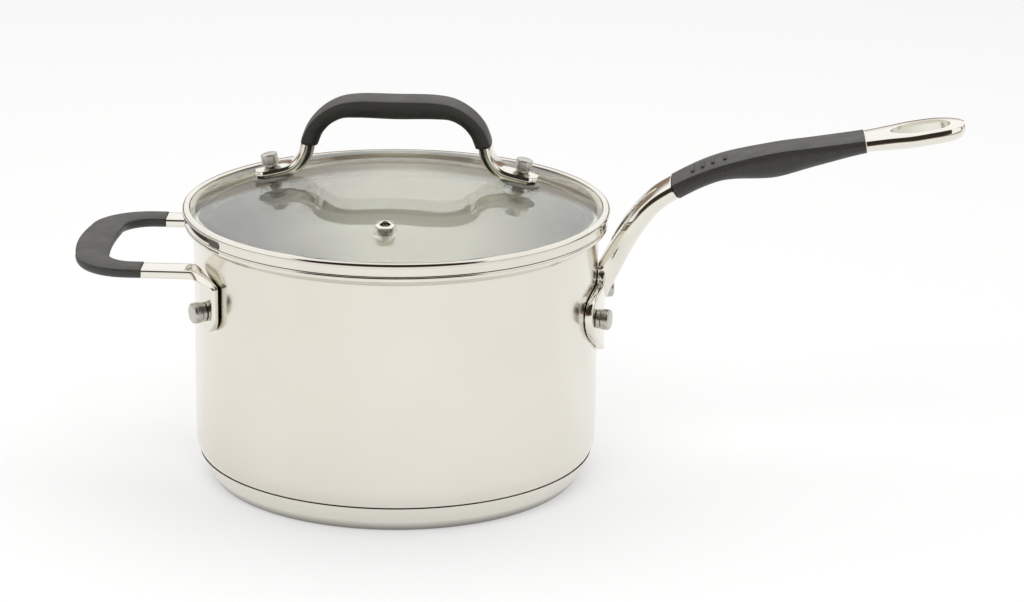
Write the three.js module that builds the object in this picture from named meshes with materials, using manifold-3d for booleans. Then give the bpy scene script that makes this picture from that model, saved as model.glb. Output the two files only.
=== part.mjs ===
// Saucepan with a glass lid. Millimetres, +Z up.
// Origin: the pan's axis at the underside of its base. The long handle points along +X,
// the helper handle along -X, and the steam vent sits toward -Y.
import * as THREE from 'three';
import { mergeVertices } from 'three/addons/utils/BufferGeometryUtils.js';
import Module from 'manifold-3d';

const wasm = await Module();
wasm.setup();

// ---------- driving dimensions ----------
const FIT_GAP = 0.3; // air left between pieces that touch
const FACETS = 48; // flats round the large turned pieces

// Pan
const BODY_RADIUS = 100.8; // outside of the pan's wall
const RIM_TOP = 132.4; // top of the pouring rim
const WALL = 1.0; // pan wall thickness
const CORNER_RADIUS = 16; // outside corner between wall and bottom
const BODY_UNDERSIDE = 6.6; // underside of the body above the surface that the pan stands on
const RIM_FLARE = 4.6; // how far the pouring rim stands out from the wall
const FLARE_HEIGHT = 5.9; // height of the flare
const BASE_INSET = 10.6; // flat ring that the pan stands on, in from the wall
const SEAM_HEIGHT = 13.9; // top edge of the base capsule
const CAP_SHEET = 0.6; // capsule sheet thickness
const CAP_STEP = 0.6; // inward step of the body under the capsule edge

// Lid
const GLASS_SPHERE = 290; // radius of the dome's outer surface
const GLASS_SHEET = 4; // glass thickness
const GLASS_RING = 17.3; // widest ring of flats on the dome
const GLASS_INSET = 2.1; // edge of the glass, in from the outside of the band
const GLASS_SEAT = 0.35; // air under the edge of the glass
const LID_FLANGE = 0.6; // thickness of the flange that rests on the pan's rim
const LID_OVERHANG = 0.1; // how far the band stands out past the pan's rim
const LID_BEAD = 1.0; // how far the top bead stands out from the band
const LID_LIP = 4.5; // width of the lip over the glass
const LID_SKIRT_DEPTH = 6.2; // how far the lid's skirt reaches into the pan
const LID_SHEET = 0.8; // lid steel thickness
const VENT_INSET = 29; // vent centre, in from the lip
const VENT_BORE = 2.3; // radius of the vent's hole
const VENT_FLANGE = 4.7; // radius of the vent's flange
const FOOT_INSET = 40; // lid handle's screws, in from the lip
const LID_HANDLE_RISE = 36; // top of the lid handle above the dome
const LID_HANDLE_HALF = 9.2; // half the lid handle's width
const LID_FOOT_SHEET = 3.8; // lid handle's thickness over a gasket
const GASKET = 1.8; // thickness of the gasket under a lid handle foot
const SCREW_RADIUS = 2.2; // lid handle screw

// Rivets
const SHANK_RADIUS = 2.6; // all four rivets
const COLLAR_RADIUS = 4.75; // spacer between foot and rivet barrel
const COLLAR_LENGTH = 2.1;
const BARREL_RADIUS = 5.1; // rivet's outer end
const BARREL_LENGTH = 4.0;

// Long handle
const FOOT_SHEET = 3.8; // main handle's foot, measured out from the wall
const MAIN_RIVET_SIDE = 25.6; // each rivet from the XZ plane
const MAIN_RIVET_DROP = 42.4; // rivets below the rim
const GRIP_START = 35.2; // near end of the grip, out from the pan's wall
const GRIP_LENGTH = 95;
const TANG_HALF = 7.5; // half the width of the steel inside the grip
const HOLE_OFFSET = 12; // hanging hole, out from the far end of the grip
const HOLE_LENGTH = 29.5;
const HOLE_HALF = 10.6;

// Helper handle
const HELPER_DROP = 15.1; // flat top of the helper handle below the rim
const HELPER_REACH = 59; // far end of the helper grip, out from the pan's wall
const HELPER_ARM = 45.3; // an arm's centre line from the XZ plane
const HELPER_HALF = 7.0; // half an arm's width
const HELPER_DEPTH = 4.8; // an arm's thickness
const HELPER_BARE = 20.2; // bare steel between the wall and the grip
const HELPER_RIVET_SIDE = 7.5; // each rivet outside its arm's centre line
const HELPER_RIVET_DROP = 19.7; // rivets below the helper handle's top
const HELPER_FOOT_SHEET = 4.2;

const GRIP_SKIN = 0.4; // how far a grip stands proud of its steel

// ---------- places worked out from them ----------
const CORNER_HEIGHT = BODY_UNDERSIDE + CORNER_RADIUS - CAP_STEP; // where the corner turns into the wall
const FLARE_START = RIM_TOP - FLARE_HEIGHT;
const RIM_RADIUS = BODY_RADIUS + RIM_FLARE;
const BASE_RADIUS = BODY_RADIUS - BASE_INSET;

const LID_BAND_RADIUS = RIM_RADIUS + LID_OVERHANG;
const LID_LIP_RADIUS = LID_BAND_RADIUS - LID_LIP;
const GLASS_RADIUS = LID_BAND_RADIUS - GLASS_INSET;
const GLASS_EDGE = RIM_TOP + FIT_GAP + LID_FLANGE + GLASS_SEAT; // underside of the glass at its edge
const GLASS_APEX = GLASS_EDGE + GLASS_SPHERE - Math.sqrt((GLASS_SPHERE - GLASS_SHEET) ** 2 - GLASS_RADIUS ** 2);
const VENT_REACH = LID_LIP_RADIUS - VENT_INSET; // vent centre from the lid's axis
const FOOT_REACH = LID_LIP_RADIUS - FOOT_INSET; // lid handle's screws from the lid's axis
const LID_GRIP_TOP = GLASS_APEX + LID_HANDLE_RISE;

const MAIN_RIVET_HEIGHT = RIM_TOP - MAIN_RIVET_DROP;
const GRIP_END = GRIP_START + GRIP_LENGTH;
const HELPER_TOP = RIM_TOP - HELPER_DROP;
const HELPER_RIVET_HEIGHT = HELPER_TOP - HELPER_RIVET_DROP;
const HELPER_GRIP_END = BODY_RADIUS + HELPER_BARE;

// ---------- materials ----------
const polished = () => new THREE.MeshStandardMaterial({ color: 0xdedbd4, roughness: 0.08, metalness: 1 });
const brushed = () => new THREE.MeshStandardMaterial({ color: 0xb9b7b2, roughness: 0.35, metalness: 1 });
const aluminium = () => new THREE.MeshStandardMaterial({ color: 0xc9cbcc, roughness: 0.5, metalness: 1 });
const softGrip = () => new THREE.MeshStandardMaterial({ color: 0x565651, roughness: 0.8, metalness: 0 });
const silicone = () => new THREE.MeshStandardMaterial({ color: 0x23231f, roughness: 0.6, metalness: 0 });
const clearGlass = () => new THREE.MeshStandardMaterial({
  color: 0xdfe8ea, roughness: 0.03, metalness: 0, transparent: true, opacity: 0.3,
});

// ---------- solids ----------
function toSolid(geometry) {
  geometry.deleteAttribute('normal');
  geometry.deleteAttribute('uv');
  const merged = mergeVertices(geometry, 1e-4);
  return new wasm.Manifold(new wasm.Mesh({
    numProp: 3,
    vertProperties: new Float32Array(merged.attributes.position.array),
    triVerts: new Uint32Array(merged.index.array),
  }));
}

function toGeometry(solid) {
  const mesh = solid.getMesh();
  const geometry = new THREE.BufferGeometry();
  geometry.setAttribute('position', new THREE.BufferAttribute(mesh.vertProperties, 3));
  geometry.setIndex(new THREE.BufferAttribute(mesh.triVerts, 1));
  geometry.computeVertexNormals();
  return geometry;
}

// A turned piece about +Z from its profile of [radius, height] points.
function turned(profile, facets = FACETS) {
  const points = profile.map(([radius, height]) => new THREE.Vector2(radius, height));
  const first = points[0];
  const last = points[points.length - 1];
  if (!(first.x === 0 && last.x === 0)) {
    points.push(first.clone());
  }
  return toSolid(new THREE.LatheGeometry(points, facets).rotateX(Math.PI / 2));
}

// Points along an arc of an ellipse: its centre, half axes, and first and last angle in degrees.
function arc(centreX, centreY, halfX, halfY, from, to, steps) {
  const points = [];
  for (let i = 0; i <= steps; i++) {
    const angle = THREE.MathUtils.degToRad(from + (to - from) * i / steps);
    points.push([centreX + halfX * Math.cos(angle), centreY + halfY * Math.sin(angle)]);
  }
  return points;
}

// A cylinder from one height to another along a matrix's Z axis.
function pin(radius, bottom, top, matrix, facets = 16) {
  const geometry = new THREE.CylinderGeometry(radius, radius, top - bottom, facets);
  geometry.rotateX(Math.PI / 2).translate(0, 0, (top + bottom) / 2);
  return toSolid(geometry.applyMatrix4(matrix));
}

// A bar drawn along a route. route(s) gives the point, its side and its up direction for s from
// 0 to 1; section(s) gives half the width, the height of the widest line above the route, the
// crown above that line and the belly below it.
function bar(route, section, steps, sides = 14) {
  const geometry = new THREE.CylinderGeometry(1, 1, 1, sides, steps);
  const position = geometry.attributes.position;
  for (let i = 0; i < position.count; i++) {
    const s = THREE.MathUtils.clamp(position.getY(i) + 0.5, 0, 1);
    const cosine = position.getX(i);
    const sine = position.getZ(i);
    const { at, side, up } = route(s);
    const { half, level, crown, belly } = section(s);
    const height = level + sine * (sine > 0 ? crown : belly);
    const point = at.clone().addScaledVector(side, half * cosine).addScaledVector(up, height);
    position.setXYZ(i, point.x, point.y, point.z);
  }
  return toSolid(geometry);
}

// Part of a route or section, stretched to run from 0 to 1.
const stretch = (whole, from, to) => (s) => whole(from + (to - from) * s);

// A route that stays in a plane parallel to XZ, with up square to it.
function uprightRoute(curve) {
  return (s) => {
    const tangent = curve.getTangent(s);
    const side = new THREE.Vector3(0, -1, 0);
    return { at: curve.getPoint(s), side, up: side.clone().cross(tangent).normalize() };
  };
}

// Turns a shape drawn in X and Y into a block that stands in the YZ plane.
function standingBlock(shape, from, to) {
  const depth = to - from;
  const geometry = new THREE.ExtrudeGeometry(shape, { depth, bevelEnabled: false, curveSegments: 8 });
  const axes = new THREE.Matrix4().makeBasis(
    new THREE.Vector3(0, 1, 0), new THREE.Vector3(0, 0, 1), new THREE.Vector3(1, 0, 0),
  );
  return toSolid(geometry.applyMatrix4(axes).translate(from, 0, 0));
}

// Matrix of a rivet: its Z axis points out of the pan's wall, its origin is on the wall. end is 1
// for the long handle's end of the pan and -1 for the other, side is the distance along Y.
function onWall(end, side, height) {
  const out = new THREE.Vector3(end * Math.sqrt(BODY_RADIUS ** 2 - side ** 2), side, 0).normalize();
  const across = new THREE.Vector3(-out.y, out.x, 0);
  const matrix = new THREE.Matrix4().makeBasis(across, new THREE.Vector3(0, 0, 1), out);
  return matrix.setPosition(out.clone().multiplyScalar(BODY_RADIUS).setZ(height));
}

// Height of the dome's outer surface at a distance from the lid's axis.
const domeHeight = (reach, radius = GLASS_SPHERE) => (
  GLASS_APEX - GLASS_SPHERE + Math.sqrt(radius * radius - reach * reach)
);

// Matrix of a piece that stands square on the glass, its origin on the outer surface.
function onGlass(x, y) {
  const reach = Math.hypot(x, y);
  const centre = new THREE.Vector3(0, 0, GLASS_APEX - GLASS_SPHERE);
  const at = new THREE.Vector3(x, y, domeHeight(reach));
  const up = at.clone().sub(centre).normalize();
  const across = new THREE.Vector3(x === 0 ? 1 : 0, x === 0 ? 0 : 1, 0);
  const along = across.clone().cross(up).normalize();
  return new THREE.Matrix4().makeBasis(across, along.negate(), up).setPosition(at);
}

const model = new THREE.Group();
const pan = new THREE.Group();
const lid = new THREE.Group();
model.add(pan, lid);

function add(group, name, solid, material) {
  const mesh = new THREE.Mesh(toGeometry(solid), material);
  mesh.name = name;
  group.add(mesh);
}

// Adds a piece made about its own Z axis, placed by a matrix.
function addPlaced(group, name, solid, material, matrix) {
  const mesh = new THREE.Mesh(toGeometry(solid), material);
  mesh.name = name;
  mesh.applyMatrix4(matrix);
  group.add(mesh);
}

// ---------- rivets ----------
const mainRivet = { end: 1, height: MAIN_RIVET_HEIGHT, sheet: FOOT_SHEET };
const helperRivet = { end: -1, height: HELPER_RIVET_HEIGHT, sheet: HELPER_FOOT_SHEET };
const helperSide = HELPER_ARM + HELPER_RIVET_SIDE;
const RIVETS = [
  { name: 'main_%_front', side: -MAIN_RIVET_SIDE, ...mainRivet },
  { name: 'main_%_back', side: MAIN_RIVET_SIDE, ...mainRivet },
  { name: 'helper_%_front', side: -helperSide, ...helperRivet },
  { name: 'helper_%_back', side: helperSide, ...helperRivet },
];

// Inner head, shank through wall, foot and collar, and outer barrel, in one turned piece.
function rivet(sheet) {
  const headRadius = 6;
  const flatWall = (BODY_RADIUS - WALL) * Math.cos(Math.PI / FACETS);
  const headTop = Math.sqrt(flatWall ** 2 - headRadius ** 2) - BODY_RADIUS - FIT_GAP;
  const barrelStart = FIT_GAP + sheet + FIT_GAP + COLLAR_LENGTH + FIT_GAP;
  const barrelEnd = barrelStart + BARREL_LENGTH;
  const round = 1.1;
  return turned([
    [0, headTop - 1.6],
    [headRadius * 0.6, headTop - 1.4],
    [headRadius, headTop - 0.5],
    [headRadius, headTop],
    [SHANK_RADIUS, headTop],
    [SHANK_RADIUS, barrelStart],
    [BARREL_RADIUS - 0.4, barrelStart],
    [BARREL_RADIUS, barrelStart + 0.4],
    ...arc(BARREL_RADIUS - round, barrelEnd - round, round, round, 0, 90, 2),
    [0, barrelEnd],
  ], 16);
}

function collar(sheet) {
  const inner = SHANK_RADIUS + FIT_GAP;
  const start = FIT_GAP + sheet + FIT_GAP;
  return turned([
    [inner, start],
    [COLLAR_RADIUS, start],
    [COLLAR_RADIUS, start + COLLAR_LENGTH],
    [inner, start + COLLAR_LENGTH],
  ], 16);
}

function rivetHole({ end, side, height }) {
  return pin(SHANK_RADIUS + FIT_GAP, -8, 12, onWall(end, side, height));
}

// ---------- pan ----------
function panBody() {
  const centre = BODY_RADIUS - CORNER_RADIUS;
  const seamAngle = THREE.MathUtils.radToDeg(Math.asin((SEAM_HEIGHT + 0.4 - CORNER_HEIGHT) / CORNER_RADIUS));
  const low = CORNER_RADIUS - CAP_STEP;
  const inner = BODY_RADIUS - WALL;
  const floor = CORNER_HEIGHT - low + 1.2;
  const flare = RIM_TOP - FLARE_START;
  const lip = RIM_RADIUS - BODY_RADIUS;
  const shell = turned([
    [0, CORNER_HEIGHT - low],
    ...arc(centre, CORNER_HEIGHT, low, low, -90, seamAngle, 4),
    ...arc(centre, CORNER_HEIGHT, CORNER_RADIUS, CORNER_RADIUS, seamAngle, 0, 2),
    [BODY_RADIUS, FLARE_START],
    [BODY_RADIUS + lip * 0.25, FLARE_START + flare * 0.35],
    [RIM_RADIUS, FLARE_START + flare * 0.68],
    [RIM_RADIUS, RIM_TOP - 0.5],
    [RIM_RADIUS - 0.5, RIM_TOP],
    [RIM_RADIUS - 1.4, RIM_TOP],
    [inner + lip * 0.35, FLARE_START + flare * 0.6],
    [inner, FLARE_START + 0.6],
    ...arc(centre, CORNER_HEIGHT, inner - centre, CORNER_HEIGHT - floor, 0, -90, 5),
    [0, floor],
  ]);
  return RIVETS.reduce((body, spot) => body.subtract(rivetHole(spot)), shell);
}

// Pressed steel capsule round the base, open at the top where the body sits in it.
function baseCap() {
  const centre = BODY_RADIUS - CORNER_RADIUS;
  const gapped = CORNER_RADIUS - CAP_STEP + FIT_GAP;
  const mouth = centre + Math.sqrt(gapped ** 2 - (CORNER_HEIGHT - SEAM_HEIGHT) ** 2);
  const rise = SEAM_HEIGHT - 1.6;
  const swell = 0.4;
  const side = (offset) => [0, 0.5, 1].map((s) => [
    BASE_RADIUS + 3.2 + (mouth + CAP_SHEET - BASE_RADIUS - 3.2) * s + 4 * swell * s * (1 - s) - offset,
    1.6 + rise * s,
  ]);
  return turned([
    [0, 0],
    [BASE_RADIUS, 0],
    [BASE_RADIUS + 2, 0.5],
    ...side(0),
    ...side(CAP_SHEET).reverse(),
    [BASE_RADIUS + 1.4, CAP_SHEET + 0.5],
    [BASE_RADIUS - 0.6, CAP_SHEET],
    [0, CAP_SHEET],
  ]);
}

// Aluminium disc between the body and the capsule.
function baseCore() {
  const centre = BODY_RADIUS - CORNER_RADIUS;
  const under = CORNER_HEIGHT - (CORNER_RADIUS - CAP_STEP) - FIT_GAP;
  const bottom = CAP_SHEET + FIT_GAP;
  return turned([
    [0, bottom],
    [BASE_RADIUS - 0.8, bottom],
    [BASE_RADIUS + 1.2, bottom + 1],
    [BASE_RADIUS + 2.2, bottom + 3],
    [BASE_RADIUS + 1, under + 0.6],
    [centre, under],
    [0, under],
  ]);
}

// ---------- long handle ----------
// Stations along the handle's top line: distance out from the pan's wall, rise above the rivets,
// half width and depth. The first ones are the neck, then come the grip and the end with its hole.
const HANDLE_STATIONS = [
  { out: -8.8, rise: 2, half: 6.4, depth: 12 },
  { out: 1.7, rise: 24, half: 6.8, depth: 11.8 },
  { out: 11.7, rise: 42, half: 11.8, depth: 11.2 },
  { out: 23.2, rise: 56, half: 12.4, depth: 10.2 },
  { out: GRIP_START, rise: 64.4, half: 12.4, depth: 9.6 },
  { out: GRIP_START + 0.22 * GRIP_LENGTH, rise: 74.5, half: 13.9, depth: 9.3 },
  { out: GRIP_START + 0.52 * GRIP_LENGTH, rise: 82.2, half: 12.4, depth: 14.4 },
  { out: GRIP_START + 0.75 * GRIP_LENGTH, rise: 85.8, half: 12.4, depth: 11.2 },
  { out: GRIP_END, rise: 89.7, half: 12.8, depth: 8 },
  { out: GRIP_END + 11, rise: 91.8, half: 14.4, depth: 8.6 },
  { out: GRIP_END + 23, rise: 94, half: 16.6, depth: 9 },
  { out: GRIP_END + 34, rise: 96, half: 15.8, depth: 9 },
  { out: GRIP_END + 41.5, rise: 97, half: 13.2, depth: 8.6 },
  { out: GRIP_END + 46, rise: 97.5, half: 9.4, depth: 7.6 },
  { out: GRIP_END + 48.2, rise: 97.7, half: 4.4, depth: 6 },
];
const HANDLE_LAST = HANDLE_STATIONS.length - 1;
const GRIP_FROM = 4 / HANDLE_LAST;
const GRIP_TO = 8 / HANDLE_LAST;

const handleRoute = uprightRoute(new THREE.CatmullRomCurve3(
  HANDLE_STATIONS.map(({ out, rise }) => new THREE.Vector3(BODY_RADIUS + out, 0, MAIN_RIVET_HEIGHT + rise)),
));
const handleSizes = new THREE.CatmullRomCurve3(
  HANDLE_STATIONS.map(({ half, depth }) => new THREE.Vector3(half, depth, 0)),
);

// D-shaped section: nearly flat on top, rounded underneath. skin pulls the surface in.
function handleSection(skin) {
  return (s) => {
    const size = handleSizes.getPoint(s);
    return { half: size.x - skin, level: -skin, crown: 0.8, belly: size.y - 2 * skin };
  };
}

// The steel inside the grip, grown by a clearance for the grip's bore.
function tangSection(clearance) {
  return (s) => {
    const size = handleSizes.getPoint(s);
    const mid = 0.42 * size.y;
    const thick = 0.22 * size.y + clearance;
    return { half: TANG_HALF + clearance, level: -mid, crown: thick, belly: thick };
  };
}

// The curved shield that the handle is riveted on by, its heights measured from the rivets.
function shieldFoot() {
  const stem = 6.4;
  const widest = MAIN_RIVET_SIDE + 8.9;
  const shoulder = MAIN_RIVET_SIDE + 3.4;
  const shape = new THREE.Shape();
  shape.moveTo(-stem, 20);
  shape.quadraticCurveTo(-stem, 13, -14, 13);
  shape.bezierCurveTo(-shoulder, 12.8, -widest, 8.5, -widest, 1.5);
  shape.bezierCurveTo(-widest, -5.5, -shoulder, -10.2, -MAIN_RIVET_SIDE + 3.6, -14.2);
  shape.lineTo(-5, -22.8);
  shape.quadraticCurveTo(0, -25.4, 5, -22.8);
  shape.lineTo(MAIN_RIVET_SIDE - 3.6, -14.2);
  shape.bezierCurveTo(shoulder, -10.2, widest, -5.5, widest, 1.5);
  shape.bezierCurveTo(widest, 8.5, shoulder, 12.8, 14, 13);
  shape.quadraticCurveTo(stem, 13, stem, 20);
  const block = standingBlock(shape, BODY_RADIUS / 2, BODY_RADIUS + 10).translate([0, 0, MAIN_RIVET_HEIGHT]);
  return block.intersect(wallJacket(FOOT_SHEET));
}

// A sleeve round the pan's wall that starts one gap away from it.
function wallJacket(sheet) {
  const inner = BODY_RADIUS + FIT_GAP;
  return turned([
    [inner, CORNER_HEIGHT],
    [inner + sheet, CORNER_HEIGHT],
    [inner + sheet, RIM_TOP],
    [inner, RIM_TOP],
  ]);
}

// Everything inside the pan's wall and one gap round it, to cut a handle back to the wall.
function wallPlug() {
  const radius = BODY_RADIUS + FIT_GAP;
  return turned([
    [0, CORNER_HEIGHT],
    [radius, CORNER_HEIGHT],
    [radius, LID_GRIP_TOP],
    [0, LID_GRIP_TOP],
  ]);
}

// Long tear-shaped recess in the top of the neck.
function neckSlot() {
  const from = 1.35 / HANDLE_LAST;
  const to = 3.5 / HANDLE_LAST;
  const section = (s) => ({
    half: 0.4 + 3.4 * Math.sin(Math.PI * Math.sqrt(s)), level: 0, crown: 4, belly: 5,
  });
  return bar(stretch(handleRoute, from, to), section, 12, 8);
}

// Egg-shaped hole through the end of the handle, square to its top face.
function hangingHole() {
  const reach = HOLE_LENGTH / 2;
  const middle = BODY_RADIUS + GRIP_END + HOLE_OFFSET + reach;
  const blunt = HOLE_HALF * 1.25;
  const shape = new THREE.Shape();
  shape.moveTo(-reach, 0);
  shape.bezierCurveTo(-reach, -HOLE_HALF * 0.75, -reach * 0.2, -blunt, reach * 0.45, -HOLE_HALF);
  shape.bezierCurveTo(reach * 0.85, -HOLE_HALF * 0.8, reach, -HOLE_HALF * 0.5, reach, 0);
  shape.bezierCurveTo(reach, HOLE_HALF * 0.5, reach * 0.85, HOLE_HALF * 0.8, reach * 0.45, HOLE_HALF);
  shape.bezierCurveTo(-reach * 0.2, blunt, -reach, HOLE_HALF * 0.75, -reach, 0);
  const { at, up } = handleRoute(10 / HANDLE_LAST);
  const side = new THREE.Vector3(0, 1, 0);
  const along = side.clone().cross(up);
  const geometry = new THREE.ExtrudeGeometry(shape, { depth: 40, bevelEnabled: false, curveSegments: 6 });
  geometry.translate(0, 0, -20);
  const matrix = new THREE.Matrix4().makeBasis(along, side, up);
  matrix.setPosition(at.addScaledVector(along, (middle - at.x) / along.x));
  return toSolid(geometry.applyMatrix4(matrix));
}

function mainHandle() {
  const steel = handleSection(GRIP_SKIN);
  const overlap = 0.02;
  const neck = bar(stretch(handleRoute, 0, GRIP_FROM), stretch(steel, 0, GRIP_FROM), 12);
  const tangRange = [GRIP_FROM - overlap, GRIP_TO + overlap];
  const tang = bar(stretch(handleRoute, ...tangRange), stretch(tangSection(0), ...tangRange), 10, 8);
  const end = bar(stretch(handleRoute, GRIP_TO, 1), stretch(steel, GRIP_TO, 1), 15);
  let handle = neck.add(tang).add(end.subtract(hangingHole())).subtract(neckSlot());
  handle = handle.add(shieldFoot()).subtract(wallPlug());
  return RIVETS.slice(0, 2).reduce((cut, spot) => cut.subtract(rivetHole(spot)), handle);
}

// Soft sleeve over the tang, with four short thumb ribs on top near the pan.
function mainGrip() {
  const short = 0.0015;
  const range = [GRIP_FROM + short, GRIP_TO - short];
  const sleeve = bar(stretch(handleRoute, ...range), stretch(handleSection(0), ...range), 18);
  const boreRange = [GRIP_FROM - short, GRIP_TO + short];
  const bore = bar(stretch(handleRoute, ...boreRange), stretch(tangSection(FIT_GAP), ...boreRange), 10, 8);
  let grip = sleeve;
  for (let i = 0; i < 4; i++) {
    const { at, up } = handleRoute((4.55 + 0.22 * i) / HANDLE_LAST);
    const centre = at.addScaledVector(up, 0.35);
    const rib = new THREE.CapsuleGeometry(1, 11 - i, 2, 6).translate(centre.x, centre.y, centre.z);
    grip = grip.add(toSolid(rib));
  }
  return grip.subtract(bore);
}

// ---------- helper handle ----------
// Plan of the loop's centre line: two arms and a bowed end joined by round corners.
function loopCurve(start) {
  const half = HELPER_ARM;
  const corner = 21.5;
  const end = BODY_RADIUS + HELPER_REACH - HELPER_HALF - 1.7;
  const bow = 1.8;
  const cornerX = -(end - bow) + corner;
  const reach = half - corner;
  const curve = new THREE.CurvePath();
  const point = (x, y) => new THREE.Vector3(x, y, HELPER_TOP);
  curve.add(new THREE.LineCurve3(point(-start, -half), point(cornerX, -half)));
  const turn = (sign, fromAngle, toAngle) => {
    const points = arc(cornerX, sign * reach, corner, corner, fromAngle, toAngle, 8);
    return new THREE.CatmullRomCurve3(points.map(([x, y]) => point(x, y)));
  };
  curve.add(turn(-1, 270, 180));
  curve.add(new THREE.QuadraticBezierCurve3(
    point(-(end - bow), -reach), point(-(end + bow), 0), point(-(end - bow), reach),
  ));
  curve.add(turn(1, 180, 90));
  curve.add(new THREE.LineCurve3(point(cornerX, half), point(-start, half)));
  return curve;
}

function loopRoute(start) {
  const curve = loopCurve(start);
  const up = new THREE.Vector3(0, 0, 1);
  return (s) => {
    const tangent = curve.getTangentAt(s);
    return { at: curve.getPointAt(s), side: tangent.clone().cross(up).normalize(), up };
  };
}

// One end of the loop: the bar turns down and flattens against the pan's wall.
function helperBend(sign) {
  const turn = 9;
  const wallX = -Math.sqrt(BODY_RADIUS ** 2 - (HELPER_ARM + 4) ** 2);
  const points = [
    [-BODY_RADIUS - 3.2, HELPER_TOP],
    [wallX - turn, HELPER_TOP],
    [wallX - turn * 0.3, HELPER_TOP - turn * 0.3],
    [wallX, HELPER_TOP - turn],
    [wallX + 1, HELPER_TOP - turn - 8],
  ].map(([x, z]) => new THREE.Vector3(x, sign * HELPER_ARM, z));
  const curve = new THREE.CatmullRomCurve3(points);
  const section = (s) => ({ half: HELPER_HALF + 1.5 * s, level: 0, crown: 0.5, belly: HELPER_DEPTH });
  return bar(uprightRoute(curve), section, 8);
}

// Rounded tab that the rivet goes through.
function helperFoot(sign) {
  const half = 7.9;
  const middle = helperSide + 0.8;
  const inner = HELPER_ARM - HELPER_HALF;
  const low = HELPER_RIVET_HEIGHT - 2.1;
  const shape = new THREE.Shape();
  shape.moveTo(sign * inner, HELPER_TOP - 4);
  shape.quadraticCurveTo(sign * (middle - half), low + 12.5, sign * (middle - half), low + 6.5);
  shape.lineTo(sign * (middle - half), low);
  shape.absarc(sign * middle, low, half, sign > 0 ? Math.PI : 0, sign > 0 ? 2 * Math.PI : Math.PI, sign < 0);
  shape.lineTo(sign * (middle + half), low + 10.5);
  shape.quadraticCurveTo(sign * (middle + half), low + 16.5, sign * (middle + 2), HELPER_TOP - 4);
  const block = standingBlock(shape, -BODY_RADIUS - 10, -BODY_RADIUS / 4);
  return block.intersect(wallJacket(HELPER_FOOT_SHEET));
}

const helperSteel = () => ({ half: HELPER_HALF, level: 0, crown: 0.4, belly: HELPER_DEPTH });
const helperCore = (clearance) => () => ({
  half: 4 + clearance, level: -2.4, crown: 1.3 + clearance, belly: 1.3 + clearance,
});

function helperHandle() {
  const armEnd = BODY_RADIUS - 0.8;
  const arm = (sign) => {
    const curve = new THREE.LineCurve3(
      new THREE.Vector3(-HELPER_GRIP_END, sign * HELPER_ARM, HELPER_TOP),
      new THREE.Vector3(-armEnd, sign * HELPER_ARM, HELPER_TOP),
    );
    return bar(uprightRoute(curve), helperSteel, 1);
  };
  let handle = bar(loopRoute(armEnd + 8), helperCore(0), 30, 8);
  for (const sign of [-1, 1]) {
    handle = handle.add(arm(sign)).add(helperBend(sign)).add(helperFoot(sign));
  }
  handle = handle.subtract(wallPlug());
  return RIVETS.slice(2).reduce((cut, spot) => cut.subtract(rivetHole(spot)), handle);
}

// Soft sleeve round the loop, wider and fuller at its far end where the fingers pull.
function helperGrip() {
  const section = (s) => {
    const full = Math.sin(Math.PI * s) ** 2;
    return { half: HELPER_HALF + 0.3 + 1.6 * full, level: 0, crown: 0.5 + GRIP_SKIN, belly: 5.6 + 1.6 * full };
  };
  const start = HELPER_GRIP_END + FIT_GAP;
  const sleeve = bar(loopRoute(start), section, 32);
  return sleeve.subtract(bar(loopRoute(HELPER_GRIP_END - 4), helperCore(FIT_GAP), 30, 8));
}

// ---------- lid ----------
const FOOT_SPOTS = [
  { name: 'left', x: -FOOT_REACH },
  { name: 'right', x: FOOT_REACH },
];
const ventSpot = onGlass(0, -VENT_REACH);

function lidGlass() {
  const steps = Math.ceil(GLASS_RADIUS / GLASS_RING);
  const surface = (radius) => {
    const points = [];
    for (let i = 0; i <= steps; i++) {
      const reach = GLASS_RADIUS * i / steps;
      points.push([reach, domeHeight(reach, radius)]);
    }
    return points;
  };
  let glass = turned([...surface(GLASS_SPHERE - GLASS_SHEET), ...surface(GLASS_SPHERE).reverse()]);
  for (const { x } of FOOT_SPOTS) {
    glass = glass.subtract(pin(SCREW_RADIUS + 1, -8, 4, onGlass(x, 0)));
  }
  return glass.subtract(pin(VENT_BORE + 1.4, -8, 4, ventSpot));
}

// Steel band: bead and lip over the glass edge, flange on the pan's rim and skirt inside the pan.
function lidRim() {
  const flange = RIM_TOP + FIT_GAP;
  const skirt = BODY_RADIUS - WALL - 0.7;
  const bead = LID_BAND_RADIUS + LID_BEAD;
  const beadHeight = domeHeight(GLASS_RADIUS) + 0.7;
  const lipUnder = domeHeight(LID_LIP_RADIUS) + FIT_GAP;
  const inside = LID_BAND_RADIUS - LID_SHEET;
  return turned([
    [skirt - LID_SHEET, flange - LID_SKIRT_DEPTH],
    [skirt, flange - LID_SKIRT_DEPTH],
    [skirt, flange],
    [LID_BAND_RADIUS - 0.3, flange],
    [LID_BAND_RADIUS, flange + 0.4],
    [LID_BAND_RADIUS, beadHeight - 1],
    [bead, beadHeight - 0.6],
    [bead, beadHeight],
    [bead - 0.8, beadHeight + 0.6],
    [LID_LIP_RADIUS, lipUnder + LID_SHEET],
    [LID_LIP_RADIUS, lipUnder],
    [inside, domeHeight(inside) + FIT_GAP],
    [inside, flange + LID_FLANGE],
    [skirt - LID_SHEET, flange + LID_FLANGE],
  ]);
}

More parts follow.
